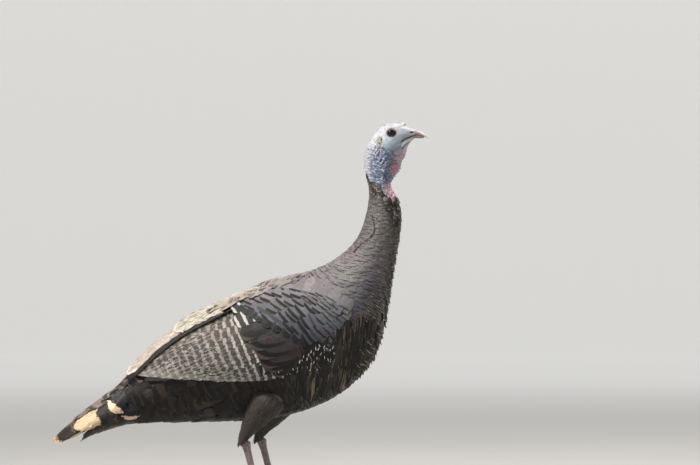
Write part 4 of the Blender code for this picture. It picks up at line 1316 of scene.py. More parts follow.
# line, half width, lift, darkness, which is painted shade along the groove
LINES = [
    (GAPE, 0.0015, -0.0019, 1.0),
    ([(0.313, 0.6782), (0.304, 0.6745), (0.2945, 0.6685), (0.2915, 0.664)], 0.0018, 0.0009, 0.0),
    (JAW_LINE, 0.0014, -0.001, 0.75),
    (JOWL, 0.0016, -0.0011, 0.35),
    (NECK_CLEFT, 0.0022, -0.002, 0.35),
    ([(0.252, 0.656), (0.265, 0.6475), (0.277, 0.648)], 0.0013, -0.0009, 0.3),
    ([(0.244, 0.685), (0.248, 0.696), (0.259, 0.7005)], 0.0014, -0.0004, 0.05),
]
# centre, half sizes, lift, darkness: painted shade in the pits before the bill and of the ear, and the own
# dark of the small dots
SPOTS = [
    ((0.268, 0.668), (0.017, 0.013), 0.0016, 0.0),
    ((0.274, 0.6975), (0.013, 0.0036), 0.001, 0.0),
    ((0.309, 0.6886), (0.0048, 0.0017), -0.002, 1.0),
    ((0.3095, 0.6906), (0.0058, 0.0018), 0.0006, 0.0),
    ((0.2515, 0.6735), (0.006, 0.0064), 0.0007, 0.0),
    ((0.2546, 0.675), (0.0014, 0.0036), -0.0022, 0.85),
    ((0.29, 0.684), (0.0085, 0.006), 0.0006, 0.0),
    ((0.2412, 0.675), (0.0012, 0.0013), 0.0002, 0.9),
    ((0.244, 0.6636), (0.0012, 0.0012), 0.0002, 0.9),
    ((0.2556, 0.695), (0.001, 0.001), 0.0002, 0.8),
    ((0.2392, 0.656), (0.001, 0.0011), 0.0002, 0.8),
]
# half width and half height of the opening between the lids
LID = np.array([0.006, 0.0053])
# radius of the eyeball
BALL = 0.008


def side_view(a, t):
    p = body.at(a, t)
    return p, p[..., 0] - SHIFT, p[..., 2]


def lid_share(x, z):
    """1 on the rim of the lids, less inside the opening and more outside it."""
    return off(x, z, EYE[0] - SHIFT, EYE[2], *LID)


def ball_face(x, z):
    """How far out the eyeball's face stands at a place of the side view."""
    r = off(x, z, EYE[0] - SHIFT, EYE[2])
    return EYE[1] + np.sqrt(np.clip(BALL**2 - r**2, 0, None))


def head_relief(p, x, z, a, t):
    """Lift of the bare skin's folds, creases, pits and warts, and darkness: painted shade in creases, pits
    and between folds, and the own dark of pin feathers.
    """
    s = from_back(t)
    lift, dark = np.zeros(len(a)), np.zeros(len(a))
    for line, wide, high, shade in LINES:
        d, share = to_line(x, z, line)
        near = np.exp(-(d / wide)**2) * smooth(1.0, 0.94, share)
        if line is not GAPE:
            near *= smooth(0.0, 0.06, share)
        lift += high * near
        # Painted shade along the grooves of the lines.
        dark = np.maximum(dark, shade * np.exp(-(d / (0.75 * wide))**2))
    for centre, half_sizes, high, shade in SPOTS:
        r = off(x, z, *centre, *half_sizes)
        lift += high * np.clip(1 - r * r, 0, 1)**1.5
        # Painted shade in the pits, and the small dots' own dark.
        dark = np.maximum(dark, shade * smooth(1.0, 0.55, r))
    # Wrinkles that run round the lids.
    q = lid_share(x, z)
    lift += 0.0002 * np.sin((q - 1.0) * 2 * np.pi / 0.42) * smooth(1.5, 1.8, q) * smooth(3.4, 2.2, q)
    # Warts: fine folds lying across the blue neck, and pale crests in a slanting row before the throat.
    begin = 0.0115 * smooth(0.268, 0.248, x) + 0.003 * wavy(p, 0.008, 17)
    warty = smooth(0.661, 0.65, z - begin) * smooth(0.00, 0.14, s)
    front = np.clip(smooth(0.34, 0.44, s) + smooth(0.604, 0.59, z) * smooth(0.22, 0.34, s), 0, 1)
    px, py, pz = p.T
    folded = np.stack([0.42 * px, 0.42 * py, pz + 0.25 * px + 0.0016 * wavy(p, 0.009, 6)], -1)
    near, second = cells(folded, 0.0041, 5)
    crest = smooth(0.6, 0.08, near)
    away, _ = to_line(x, z, NECK_CLEFT)
    big, _ = cells(np.stack([px - 0.55 * pz, 0.5 * py, 0.36 * pz + 0.3 * px], -1), 0.0054, 9)
    knob = smooth(0.55, 0.05, big) * np.clip(1.2 * smooth(0.0105, 0.0045, away) + 0.55 * front, 0, 1)
    fine, _ = cells(p, 0.0019, 11)
    lift += warty * (0.0018 * crest * (1 - 0.6 * front) + 0.003 * knob)
    lift += 0.00022 * smooth(0.6, 0.1, fine) * smooth(16.6, 15.5, a)
    # The valleys between the fine folds are painted darker: painted shade.
    valley = smooth(0.04, 0.3, second - near)
    dark = np.maximum(dark, warty * (1 - knob) * (0.66 * (1 - valley) * (1 - 0.6 * front)))
    # A pebbled skin everywhere else.
    pebble, _ = cells(p, 0.0026, 21)
    lift += 0.00016 * smooth(0.6, 0.1, pebble) * (1 - warty)
    # Dark pin feathers on the crown and nape.
    pin, _ = cells(p, 0.0068, 33)
    specks = smooth(0.19, 0.11, pin) * smooth(0.3, 0.2, s) * smooth(15.0, 16.0, a) * smooth(23.0, 21.5, a)
    dark = np.maximum(dark, 0.85 * specks)
    return lift, dark, warty * crest * (1 - front), warty * knob


def pleat_wave(p, z):
    """The pleats along the front edge of the dewlap."""
    return np.sin(z * 2 * np.pi / 0.0052 + 3 * wavy(p, 0.006, 8))


def skin_zones(p, x, z, a, t, crest, knob):
    """The colours of the head and of the bare neck, and greyish under the feathers."""
    s = from_back(t)
    cloud = 0.5 + 0.5 * wavy(p, 0.008, 2)
    fine_cloud = 0.5 + 0.5 * wavy(p, 0.0028, 4)
    folds = 0.5 + 0.5 * np.sin(z * 2 * np.pi / 0.0046 + 2.5 * wavy(p, 0.006, 14))
    from_bar, _ = to_line(x, z, LINES[1][0])
    throat = smooth(0.604, 0.59, z)
    q = lid_share(x, z)
    colour = per((0.285, 0.345, 0.385), len(a), 3)
    for share, over in (
        # Neck: blue at the sides, with a bluish white nape.
        (smooth(0.666, 0.648, z), (0.15, 0.215, 0.335)),
        (smooth(0.65, 0.63, z) * smooth(0.3, 0.24, s) * cloud * 0.6, (0.28, 0.33, 0.45)),
        (smooth(0.17, 0.075, s) * smooth(0.69, 0.68, z) * smooth(13.8, 14.6, a) * (0.55 + 0.45 * folds),
         (0.5, 0.5, 0.56)),
        (smooth(0.235, 0.15, s) * smooth(0.64, 0.66, z) * smooth(14.0, 16.0, a) * (0.6 + 0.4 * cloud),
         (0.42, 0.43, 0.51)),
        # Crown and lores.
        (smooth(0.6885, 0.6965, z) * smooth(18.5, 19.5, a), (0.47, 0.47, 0.5)),
        (smooth(0.03, 0.012, off(x, z, 0.24, 0.69)) * 0.9, (0.5, 0.5, 0.55)),
        (np.clip(1.15 - off(x, z, 0.296, 0.69, 0.016, 0.011), 0, 1) * 0.8, (0.4, 0.4, 0.47)),
        (smooth(24.0, 25.0, a) * 0.8, (0.4, 0.33, 0.35)),
        # The jaw: pale bar under the gape, blue-white under the chin.
        (smooth(0.0026, 0.001, from_bar), (0.62, 0.63, 0.6)),
        (smooth(0.4, 0.47, s) * smooth(18.2, 19.5, a), (0.47, 0.42, 0.5)),
        # Ear.
        (smooth(0.0095, 0.004, off(x, z, 0.2505, 0.673, 1.0, 1.25)) * 0.75, (0.27, 0.27, 0.195)),
        # Dewlap: lilac pink above, red pink below, with a pale, pleated edge, paler on the pleats' crests
        # than in their troughs: partly the edge's own colour, partly painted light and shade.
        (1.25 - off(x, z, 0.285, 0.644, 0.0105, 0.015), (0.47, 0.33, 0.4)),
        (np.clip(1.3 - off(x, z, 0.278, 0.622, 0.0085, 0.015), 0, 1) * (0.65 + 0.35 * cloud),
         (0.6, 0.19, 0.23)),
        (smooth(0.385, 0.465, s) * smooth(0.596, 0.608, z) * smooth(0.668, 0.655, z)
         * (0.55 + 0.45 * pleat_wave(p, z)) * 0.8, (0.66, 0.52, 0.57)),
        # Red and pink at the foot of the throat.
        (throat * smooth(0.27, 0.38, s), (0.5, 0.22, 0.25)),
        (throat * smooth(0.24, 0.36, s) * fine_cloud * 0.6, (0.66, 0.52, 0.57)),
        # Pale tops of the fine folds, partly their own colour and partly a painted highlight, and the pale
        # knobs of the crests.
        (crest**2 * 0.6 * (0.25 + 0.75 * cloud), (0.5, 0.5, 0.62)),
        (knob**1.5 * 0.8, (0.68, 0.55, 0.64)),
        # Lids: pink brown above, and a dark rim round the opening, partly the lids' own dark and partly
        # painted shade.
        (smooth(2.0, 1.3, q) * smooth(0.682, 0.69, z) * 0.85, (0.4, 0.3, 0.31)),
        (smooth(1.75, 1.15, q), (0.04, 0.029, 0.03)),
        # Under the coat.
        (smooth(feather_limit(t) + 0.25, feather_limit(t) - 0.1, a), (0.085, 0.075, 0.07)),
    ):
        colour = lerp(colour, np.array(over), np.clip(share, 0, 1)[:, None])
    return colour


def coat_depth(a, t):
    """How deep the skin lies under the feathers."""
    deep = np.interp(a, [0, 6, 9, 11, 13, 16], [0.0085, 0.0085, 0.0065, 0.0045, 0.0032, 0.0022])
    return deep * smooth(feather_limit(t) + 0.3, feather_limit(t) - 0.6, a)


WIDE_ROW, FINE_ROW, SKIN_COLUMNS = 0.0085, 0.00072, 224


def skin_rows():
    """Section numbers of the skin's rows: wide apart on the body, close on the neck and head."""
    speed = np.linalg.norm(body.da, axis=2).mean(axis=1)
    rows = [0.0]
    while rows[-1] < body.last:
        at = rows[-1]
        gap = lerp(WIDE_ROW, FINE_ROW, smooth(12.0, 13.2, np.array(at)))
        rows.append(at + gap / speed[min(int(at * body.per), len(speed) - 1)])
    rows[-1] = float(body.last)
    return np.array(rows)


def skin_body():
    """Points, triangles and paint of the body, the neck and the head."""
    rows = skin_rows()
    a = np.repeat(rows, SKIN_COLUMNS)
    t = np.tile(np.arange(SKIN_COLUMNS) / SKIN_COLUMNS, len(rows))
    p, x, z = side_view(a, t)
    s = from_back(t)
    bare = smooth(feather_limit(t) - 0.9, feather_limit(t), a)
    relief, dark, crest, knob = head_relief(p, x, z, a, t)
    points = body.at(a, t, 0.92 * wing_lift(a, t) - coat_depth(a, t) + relief * bare)
    # The dewlap is thin from side to side, and the jaw narrows towards the bill.
    points[:, 1] *= 1 - 0.56 * smooth(0.27, 0.41, s) * smooth(15.0, 16.2, a) * smooth(20.3, 18.2, a)
    pleats = pleat_wave(p, z) * smooth(0.33, 0.44, s) * smooth(15.0, 16.0, a) * smooth(19.2, 18.0, a)
    points[:, 0] += 0.0011 * pleats
    points[:, 1] += np.sign(points[:, 1]) * 0.00035 * pleats
    # Inside the lids the skin goes in under the eyeball.
    out = np.abs(points[:, 1])
    under = np.minimum(ball_face(points[:, 0] - SHIFT, points[:, 2]) - 0.004, out)
    share = smooth(1.6, 1.25, lid_share(points[:, 0] - SHIFT, points[:, 2])) * (out > 0.008)
    points[:, 1] = np.sign(points[:, 1]) * lerp(out, under, share)
    zone = skin_zones(p, x, z, a, t, crest * bare, knob * bare)
    points, triangles = closed(points, SKIN_COLUMNS)
    return points, triangles, np.concatenate([zone, zone[[0, -1]]]), np.append(dark * bare, [0, 0])


def lid_rings():
    """The rim of the left eye's lids: a soft roll round the opening, from inside the rim out to the skin."""
    shares = np.array([0.955, 0.975, 1.0, 1.04, 1.1, 1.18, 1.3, 1.46, 1.66, 1.9])
    over_ball = np.array([-0.0002, 0.0003, 0.00075, 0.0011, 0.0012, 0.0011, 0.0009, 0.0006, 0.0003, 0.0])
    to_skin = smooth(1.12, 1.62, shares)
    over_skin = np.interp(shares, [1.0, 1.4, 1.66, 1.9], [0.0008, 0.0006, 0.0002, -0.0009])
    angle = np.linspace(0, 2 * np.pi, 120, endpoint=False)
    rise = np.sin(angle)
    # The lids meet in a small corner at the front.
    corner = 1 + 0.1 * np.exp(-(np.minimum(angle, 2 * np.pi - angle) / 0.3)**2)
    x = EYE[0] - SHIFT + LID[0] * shares[:, None] * np.cos(angle) * corner
    z = EYE[2] + LID[1] * shares[:, None] * rise * (1 - 0.07 * np.clip(rise, 0, 1))
    skin = body.at(*body.locate(np.stack([x.ravel(), z.ravel()], -1)).T)[:, 1].reshape(x.shape)
    y = lerp(ball_face(x, z) + over_ball[:, None], skin + over_skin[:, None], to_skin[:, None])
    deep = 0.00022 * smooth(1.02, 1.25, shares) * smooth(1.9, 1.5, shares)
    y += deep[:, None] * np.sin(angle * 26 + 2 * np.sin(angle * 3))
    points = np.stack([x + SHIFT, y, z], -1).reshape(-1, 3)
    q = np.repeat(shares, len(angle))[:, None]
    upper = smooth(-0.2, 0.6, np.tile(rise, len(shares)))[:, None]
    # The dark inside of the rim is partly the lids' own colour and partly painted shade.
    inner = lerp(np.array((0.022, 0.016, 0.017)), np.array((0.055, 0.041, 0.043)), smooth(1.08, 1.35, q))
    outer = lerp(np.array((0.32, 0.36, 0.4)), np.array((0.4, 0.31, 0.33)), upper)
    return points, halves(grid_faces(len(shares), len(angle))), lerp(inner, outer, smooth(1.3, 1.75, q))


# x, z and radius of the snood
SNOOD = [(0.2922, 0.6972, 0.005), (0.293, 0.7, 0.0047), (0.2939, 0.7024, 0.0044), (0.2947, 0.7044, 0.0036),
         (0.2953, 0.7058, 0.0024), (0.2956, 0.7066, 0.0008)]


def snood_skin():
    """The fleshy peg on the forehead, wrinkled in rings."""
    at = np.linspace(0, len(SNOOD) - 1, 60)
    line = between(np.array(SNOOD), at)
    middles = np.stack([line[:, 0] + SHIFT, 0 * at, line[:, 1]], -1)
    points, triangles = tube(middles, line[:, 2] * (1 + 0.07 * np.sin(at * 2 * np.pi / 0.55)), 40)
    points += 0.0003 * wavy(points, 0.0015, 6)[:, None] * np.array([0.6, 1.0, 0.4])
    cloud = 0.5 + 0.5 * wavy(points, 0.002, 7)[:, None]
    return points, triangles, lerp(np.array((0.6, 0.55, 0.6)), np.array((0.7, 0.6, 0.62)), cloud)


# --- legs --------------------------------------------------------------------------------------------------

# degrees outward from straight ahead and length
TOES = {"inner": (-35, 0.048), "middle": (2, 0.066), "outer": (36, 0.05), "hind": (188, 0.023)}
# Height of the toes' middle lines, and how far ahead of the ankle they start.
TOE_RISE, FOOT_AHEAD = 0.004, 0.004
# How far the leg's solids swell before they become one skin, and the size of that skin's cells.
SKIN_GAIN, SKIN_VOXEL = 0.0003, 0.00085


def limbs_of(side):
    """The middle lines of the shank and the toes: start, unit direction, length."""
    sign, hock_x, ankle_x = LEGS[side]
    hock = np.array([hock_x + SHIFT, sign * LEG_Y, HOCK_Z])
    ankle = np.array([ankle_x + SHIFT, sign * LEG_Y, ANKLE_Z])
    lines = [(hock, unit(ankle - hock), float(np.linalg.norm(ankle - hock)))]
    root = np.array([ankle[0] + FOOT_AHEAD, ankle[1], TOE_RISE])
    for degrees, length in TOES.values():
        turn = math.radians(degrees)
        lines.append((root, np.array([math.cos(turn), sign * math.sin(turn), 0.0]), length))
    return lines


def leg_skin(side):
    """Shank, foot and toes as one skin, with broad scutes in front and small scales behind."""
    made = bmesh.new()
    for node in [f"shank_{side}", f"foot_{side}"] + [f"toe_{side}_{name}" for name in TOES]:
        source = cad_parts[node].data
        part = bmesh.new()
        part.from_mesh(source)
        bmesh.ops.remove_doubles(part, verts=part.verts, dist=1e-6)
        part.normal_update()
        for vertex in part.verts:
            vertex.co += vertex.normal * SKIN_GAIN
        loose = bpy.data.meshes.new("part")
        part.to_mesh(loose)
        part.free()
        made.from_mesh(loose)
        bpy.data.meshes.remove(loose)
    mesh = bpy.data.meshes.new(f"leg_source_{side}")
    made.to_mesh(mesh)
    made.free()
    rough = bpy.data.objects.new(f"leg_source_{side}", mesh)
    bpy.context.scene.collection.objects.link(rough)
    remesh = rough.modifiers.new("remesh", "REMESH")
    remesh.mode, remesh.voxel_size = "VOXEL", SKIN_VOXEL
    soften = rough.modifiers.new("soften", "SMOOTH")
    soften.factor, soften.iterations = 0.5, 4
    shown = rough.evaluated_get(bpy.context.evaluated_depsgraph_get()).to_mesh()
    points, normals = (fetch(shown.vertices, key, np.float32, 3).astype(float) for key in ("co", "normal"))
    shown.calc_loop_triangles()
    triangles = fetch(shown.loop_triangles, "vertices", np.int64, 3)
    bpy.data.objects.remove(rough)
    bpy.data.meshes.remove(mesh)
    hock, down, _ = limbs_of(side)[0]
    below = (points - hock) @ down
    points -= (points - hock - below[:, None] * down) * (0.65 * smooth(0.009, -0.001, below)**1.5)[:, None]
    # Every point belongs to its nearest limb.
    best = np.full(len(points), FAR)
    along, turn, kind = np.zeros(len(points)), np.zeros(len(points)), np.zeros(len(points))
    for number, (start, ahead, length) in enumerate(limbs_of(side)):
        offset = points - start
        run = np.clip(offset @ ahead, 0, length)
        away = offset - run[:, None] * ahead
        distance = np.linalg.norm(away, axis=1)
        up = np.array([0.0, 0.0, 1.0])
        if number == 0:
            up = unit(np.cross(ahead, [0.0, 1.0, 0.0]))
            up = up * np.sign(up[0])
        near = distance < best
        along = np.where(near, run, along)
        turn = np.where(near, np.arctan2(away @ np.cross(ahead, up), away @ up), turn)
        kind = np.where(near, min(number, 1), kind)
        best = np.minimum(best, distance)
    girth = np.where(kind == 0, 0.0056, 0.0047)
    pitch = np.where(kind == 0, 0.0052, 0.0034)
    wide = np.where(kind == 0, 0.95, 1.25)
    folded = np.abs(turn)
    # Two rows of scutes meet on the front of the shank, and one row runs along each toe.
    row = np.where((kind == 0) & (turn > 0), 0.5, 0.0)
    step = (along + 0.001 * np.where(kind == 0, folded / wide, 0)) / pitch + row
    edge = np.abs(step - np.round(step)) * pitch
    seam = np.where(kind == 0, folded * girth, FAR)
    scute = np.minimum(edge, np.minimum(seam, np.abs(folded - wide) * girth))
    near, second = cells(np.stack([turn * girth, along, kind * 0.5], -1), 0.0026, 15)
    scale = (second - near) * 0.0013
    on_front = smooth(wide + 0.05, wide - 0.05, folded)
    groove = lerp(smooth(0.00045, 0.0, scale), smooth(0.00055, 0.0, scute), on_front)
    groove *= 1 - smooth(0.0012, 0.0004, points[:, 2])
    points = points + normals * (0.0001 - 0.00038 * groove)[:, None]
    points[:, 2] = np.maximum(points[:, 2], 0.00005)
    cloud, patches = (0.5 + 0.5 * wavy(points, size, salt) for size, salt in ((0.006, 12), (0.003, 13)))
    horn = lerp(np.array((0.235, 0.165, 0.15)), np.array((0.33, 0.235, 0.215)), cloud[:, None])
    horn = lerp(horn, np.array((0.17, 0.135, 0.125)), (0.5 * on_front * patches)[:, None])
    # The grooves between scutes and scales also go out as darkness: painted shade.
    return points, outward(points, triangles), horn, 0.75 * groove


def thigh_skin(side):
    """The flesh of the thigh, inside its feathers."""
    rows, cols = 40, 48
    a = np.repeat(np.linspace(0, 3, rows), cols)
    t = np.tile(np.arange(cols) / cols, rows)
    return closed(thigh_surface(side).at(a, t, -np.interp(a, [0, 2, 3], [0.007, 0.0045, 0.003])), cols)


def build_skin():
    """One piece over all the flesh; relief holds how wet and how dark each point is, the darkness being
    painted shade in creases, grooves and pits, and the own dark of pin feathers.
    """
    parts = []

    def join(points, triangles, zone, wet, dark=0.0):
        count = len(points)
        parts.append((points, triangles, per(zone, count, 3), per(wet, count), per(dark, count)))

    points, triangles, zone, dark = skin_body()
    join(points, triangles, zone, 0.35, dark)
    rim, triangles, zone = lid_rings()
    # The rim faces out to her left.
    a, b, c = (rim[triangles[:, k]] for k in range(3))
    turn = 1 if np.cross(b - a, c - a)[:, 1].sum() > 0 else -1
    join(rim, triangles[:, ::turn], zone, 0.6)
    join(rim * MIRROR, triangles[:, ::-turn], zone, 0.6)
    join(*snood_skin(), 0.3)
    for side in ("left", "right"):
        points, triangles, zone, dark = leg_skin(side)
        join(points, triangles, zone, 0.1, dark)
        join(*thigh_skin(side), (0.06, 0.05, 0.045), 0.0)
    first = np.cumsum([0] + [len(part[0]) for part in parts])
    triangles = np.concatenate([part[1] + start for part, start in zip(parts, first)])
    points, _, zone, wet, dark = (np.concatenate(column) for column in zip(*parts))
    obj = make_mesh("skin", points, triangles)
    put(obj, "zone", "FLOAT_COLOR", np.column_stack([zone, np.ones(len(zone))]))
    put(obj, "relief", "FLOAT_VECTOR", np.stack([wet, dark, 0 * wet], -1))
    dress(obj, skin_material(), "bare_skin", "trunk", "tail_coverts", "neck_lower", "neck_upper", "head",
        "snood", *[f"{name}_{side}" for name in ("thigh", "shank", "foot") for side in ("left", "right")],
        *[f"toe_{side}_{name}" for side in ("left", "right") for name in TOES])


# --- eyes, bill, claws and bristles ------------------------------------------------------------------------

# Where the pupil ends and where the iris darkens, as distances from the eye's axis.
PUPIL_EDGE, IRIS_EDGE = (0.0024, 0.0028), (0.0042, 0.0054)


def eye_material():
    """A dark brown iris round a black pupil, under a wet cornea."""
    m = Tree("eye_wet")
    ring = m.attribute("ring").outputs["Fac"]
    place = m.place()
    fibre = m.noise(m.scaled(place, 1.0, 0.3, 1.0), 2600.0, 3.0)
    iris = m.mix(m.ramp(fibre, 0.3, 0.7), (0.007, 0.0035, 0.0025, 1), (0.022, 0.009, 0.005, 1))
    iris = m.mix(m.ramp(ring, *IRIS_EDGE), iris, (0.006, 0.004, 0.004, 1))
    colour = m.mix(m.ramp(ring, *PUPIL_EDGE), (0.0015, 0.0012, 0.0012, 1), iris)
    return m.finish(Base_Color=colour, Roughness=m.ramp(fibre, 0.0, 1.0, 0.05, 0.1), Specular_IOR_Level=0.12,
                    Coat_Weight=0.3, Coat_Roughness=0.02)


# How far the cornea stands out of the ball, and the mark of the ball's back, outside every ring of the iris.
CORNEA, BEHIND = 0.0002, 0.0079


def build_eyes(material):
    """Eyeballs with a slight bulge of the cornea, looking a little ahead."""
    rows, cols = 48, 72
    tilt = np.linspace(0, np.pi, rows)[1:-1, None, None]
    turn = np.linspace(0, 2 * np.pi, cols, endpoint=False)[:, None]
    radius = BALL + CORNEA * np.exp(-(tilt / 0.42)**4)
    for side, sign in (("left", 1), ("right", -1)):
        axis = unit(np.array([0.1, sign, 0.02]))
        right = unit(np.cross(axis, [0.0, 0.0, 1.0]))
        ring = right * np.cos(turn) + np.cross(right, axis) * np.sin(turn)
        points = radius * (np.sin(tilt) * ring + np.cos(tilt) * axis)
        points, triangles = closed(points.reshape(-1, 3), cols)
        points[-2:] = axis * (BALL + CORNEA), axis * -BALL
        obj = make_mesh(f"eyeball_{side}", points + EYE * np.array([1.0, sign, 1.0]), triangles)
        reach = np.linalg.norm(points - (points @ axis)[:, None] * axis, axis=1)
        put(obj, "ring", "FLOAT", np.where(points @ axis > 0, reach, BEHIND))
        dress(obj, material, "eye", f"eye_{side}")


# x, top z, bottom z, half width
UPPER_BILL = np.array([
    (0.312, 0.6934, 0.6846, 0.007), (0.315, 0.6925, 0.6842, 0.0066), (0.3205, 0.6913, 0.6834, 0.006),
    (0.326, 0.6893, 0.6824, 0.005), (0.331, 0.6862, 0.6812, 0.0038), (0.3355, 0.6826, 0.6795, 0.0023),
    (0.3386, 0.6797, 0.6782, 0.001),
])
LOWER_BILL = np.array([
    (0.312, 0.6849, 0.6776, 0.0062), (0.315, 0.6845, 0.6783, 0.0058), (0.321, 0.6836, 0.6781, 0.005),
    (0.327, 0.6825, 0.6781, 0.0036), (0.3315, 0.6813, 0.6785, 0.0017),
])


def horn_material(name, root, middle, tip, streak, roughness):
    """Horn with fine lengthwise growth lines; the point attribute reach runs from root to tip."""
    m = Tree(name)
    root, middle, tip, streak = ((*colour, 1) for colour in (root, middle, tip, streak))
    reach = m.attribute("reach").outputs["Fac"]
    place = m.place()
    lines = m.noise(m.scaled(place, 90.0, 900.0, 900.0), 1.0, 3.0)
    cloud = m.noise(place, 320.0)
    colour = m.mix(m.ramp(reach, 0.05, 0.45), root, middle)
    colour = m.mix(m.ramp(reach, 0.45, 0.85), colour, tip)
    colour = m.mix(m.times(m.ramp(lines, 0.5, 0.75), 0.35), colour, streak)
    colour = m.shaded(colour, m.ramp(cloud, 0.3, 0.7, 0.86, 1.1))
    normal = m.bump(m.plus(lines, m.times(cloud, 0.4)), 0.3, 0.0003)
    roughness = m.ramp(lines, 0.3, 0.7, roughness, roughness + 0.12)
    return m.finish(Base_Color=colour, Normal=normal, Roughness=roughness, Specular_IOR_Level=0.5,
                    Subsurface_Weight=0.08, Subsurface_Radius=(0.003, 0.002, 0.001), Subsurface_Scale=0.4)


def build_bill(upper, lower):
    """Both halves of the bill: the upper one with a ridge and a hooked tip over the lower."""
    rows = cols = 64
    angle = np.linspace(0, 2 * np.pi, cols, endpoint=False)
    c, w = np.cos(angle), np.sin(angle)
    above = (signed_power(w, 0.85) * (1 - 0.1 * np.clip(c, 0, 1)), np.where(c < 0, signed_power(c, 0.75), c))
    below = (signed_power(w, 0.9), np.where(c > 0, np.abs(c)**0.7, c))
    for name, node, table, material, (wide, high) in (("upper_bill", "bill_upper", UPPER_BILL, upper, above),
                                                      ("lower_bill", "bill_lower", LOWER_BILL, lower, below)):
        line = between(table, np.linspace(0, len(table) - 1, rows))[:, :, None]
        x, top, bottom, half = line[:, 0], line[:, 1], line[:, 2], line[:, 3]
        z = (top + bottom) / 2 + (top - bottom) / 2 * high
        points = np.stack([np.broadcast_to(x + SHIFT, (rows, cols)), half * wide, z], -1)
        points, triangles = closed(points.reshape(-1, 3), cols)
        obj = make_mesh(name, points, triangles)
        reach = (points[:, 0] - SHIFT - table[1, 0]) / (UPPER_BILL[-1, 0] - table[1, 0])
        put(obj, "reach", "FLOAT", np.clip(reach, 0, 1))
        dress(obj, material, "horn", node)


# length, and how far outward the claw sits from the line of its toe
CLAWS = {"inner": (0.012, -0.0056), "middle": (0.014, 0.0), "outer": (0.012, 0.0056), "hind": (0.011, 0.0)}
CLAW_RADIUS, ABOVE_GROUND = 0.003, 0.0001


def build_claws(material):
    """Blunt dark claws, worn flat below."""
    around = 24
    share = np.linspace(-0.25, 1.0, 26)
    on = np.clip(share, 0, 1)
    radius = CLAW_RADIUS * (1 - 0.8 * on**1.25) * np.sqrt(np.clip((1.04 - on) / 0.12, 0.02, 1))
    for side, (sign, _, _) in LEGS.items():
        points, triangles = [], []
        for (claw_length, outward_by), (root, ahead, length) in zip(CLAWS.values(), limbs_of(side)[1:]):
            middles = root + ahead * (length + 0.0003 + claw_length * share[:, None])
            middles[:, 1] += sign * outward_by
            middles[:, 2] = np.maximum(TOE_RISE - 0.0026 * on**1.6, radius * 0.95 + ABOVE_GROUND)
            some, faces = tube(middles, radius, around, up=(0.0, 0.0, 1.0))
            triangles.append(faces + len(some) * len(points))
            points.append(some)
        points = np.concatenate(points)
        points[:, 2] = np.maximum(points[:, 2], ABOVE_GROUND)
        obj = make_mesh(f"claws_{side}", points, np.concatenate(triangles))
        put(obj, "reach", "FLOAT", np.tile(np.append(np.repeat(on, around), [0.0, 1.0]), len(CLAWS)))
        dress(obj, material, "claws", *[f"claw_{side}_{name}" for name in CLAWS])


def bristle_material():
    m = Tree("bristles")
    tint = m.noise(m.place(), 900.0)
    colour = m.mix(tint, (0.01, 0.008, 0.007, 1), (0.045, 0.035, 0.03, 1))
    return m.finish(Base_Color=colour, Roughness=m.ramp(tint, 0.2, 0.8, 0.45, 0.65), Specular_IOR_Level=0.4)


def build_bristles(material):
    """Thin hair-like feathers on the crown, the nape, round the ears and between bill and eye."""
    def inside(a, t):
        _, x, z = side_view(a, t)
        crown = smooth(0.24, 0.12, from_back(t)) * (a > 14.6) * (a < 23.5)
        ear = smooth(0.008, 0.0045, off(x, z, 0.253, 0.6735)) * 14
        lores = (off(x, z, 0.295, 0.688, 0.012, 0.007) < 1) * 0.5
        return (0.5 * crown + ear + lores) * (lid_share(x, z) > 1.9)

    a, t = scatter(body, lambda a, t: 0.0017 + 0 * a, inside, 520, (14.0, 24.5)).T
    count, rows, around = len(a), 5, 4
    base, normal = body.at(a, t), body.normal(a, t)
    down = -unit(body.read(body.da, a, t))
    lie = unit(down * 0.9 + normal * 0.55 + 0.35 * RNG.standard_normal((count, 3)))
    length = (0.0024 + 0.003 * RNG.random(count))[:, None, None]
    share = np.linspace(0, 1, rows)[:, None]
    middles = base[:, None] + lie[:, None] * length * share - normal[:, None] * 0.25 * length * share**2
    across = unit(np.cross(lie, normal))
    over = np.cross(lie, across)
    angle = np.linspace(0, 2 * np.pi, around, endpoint=False)[:, None]
    ring = across[:, None] * np.cos(angle) + over[:, None] * np.sin(angle)
    points = middles[:, :, None] + ring[:, None] * (0.00028 * (1 - 0.85 * share))[..., None]
    faces = halves(grid_faces(rows, around))
    faces = (faces[None] + (np.arange(count) * rows * around)[:, None, None]).reshape(-1, 3)
    dress(make_mesh("bristles", points.reshape(-1, 3), faces), material, "feathers")

# --- dressing the bird -------------------------------------------------------------------------------------

build_skin()

soft_feather = feather_material("body_feathers", sheen=0.03, specular=0.25)
flight_feather = feather_material("flight_feathers", sheen=0.02, specular=0.3)
coat = Coat("body_coat", soft_feather, "feathers")
cover_body(coat)
cover_thighs(coat)
part_neck(coat)
streak_keel(coat)
coat.build()
coverts = Coat("wing_coverts", soft_feather, "feathers")
quills = Coat("flight_vanes", flight_feather, "flight_feathers")
lay_flight_feathers(quills)
lay_large_coverts(quills)
lay_small_coverts(coverts)
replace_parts(coverts.build(), "wing_coverts_left", "wing_coverts_right")
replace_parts(quills.build(), "wing_flight_left", "wing_flight_right")
fan = Coat("tail_vanes", flight_feather, "tail_feathers")
cover_tail(fan)
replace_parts(fan.build(), "tail")

build_eyes(eye_material())
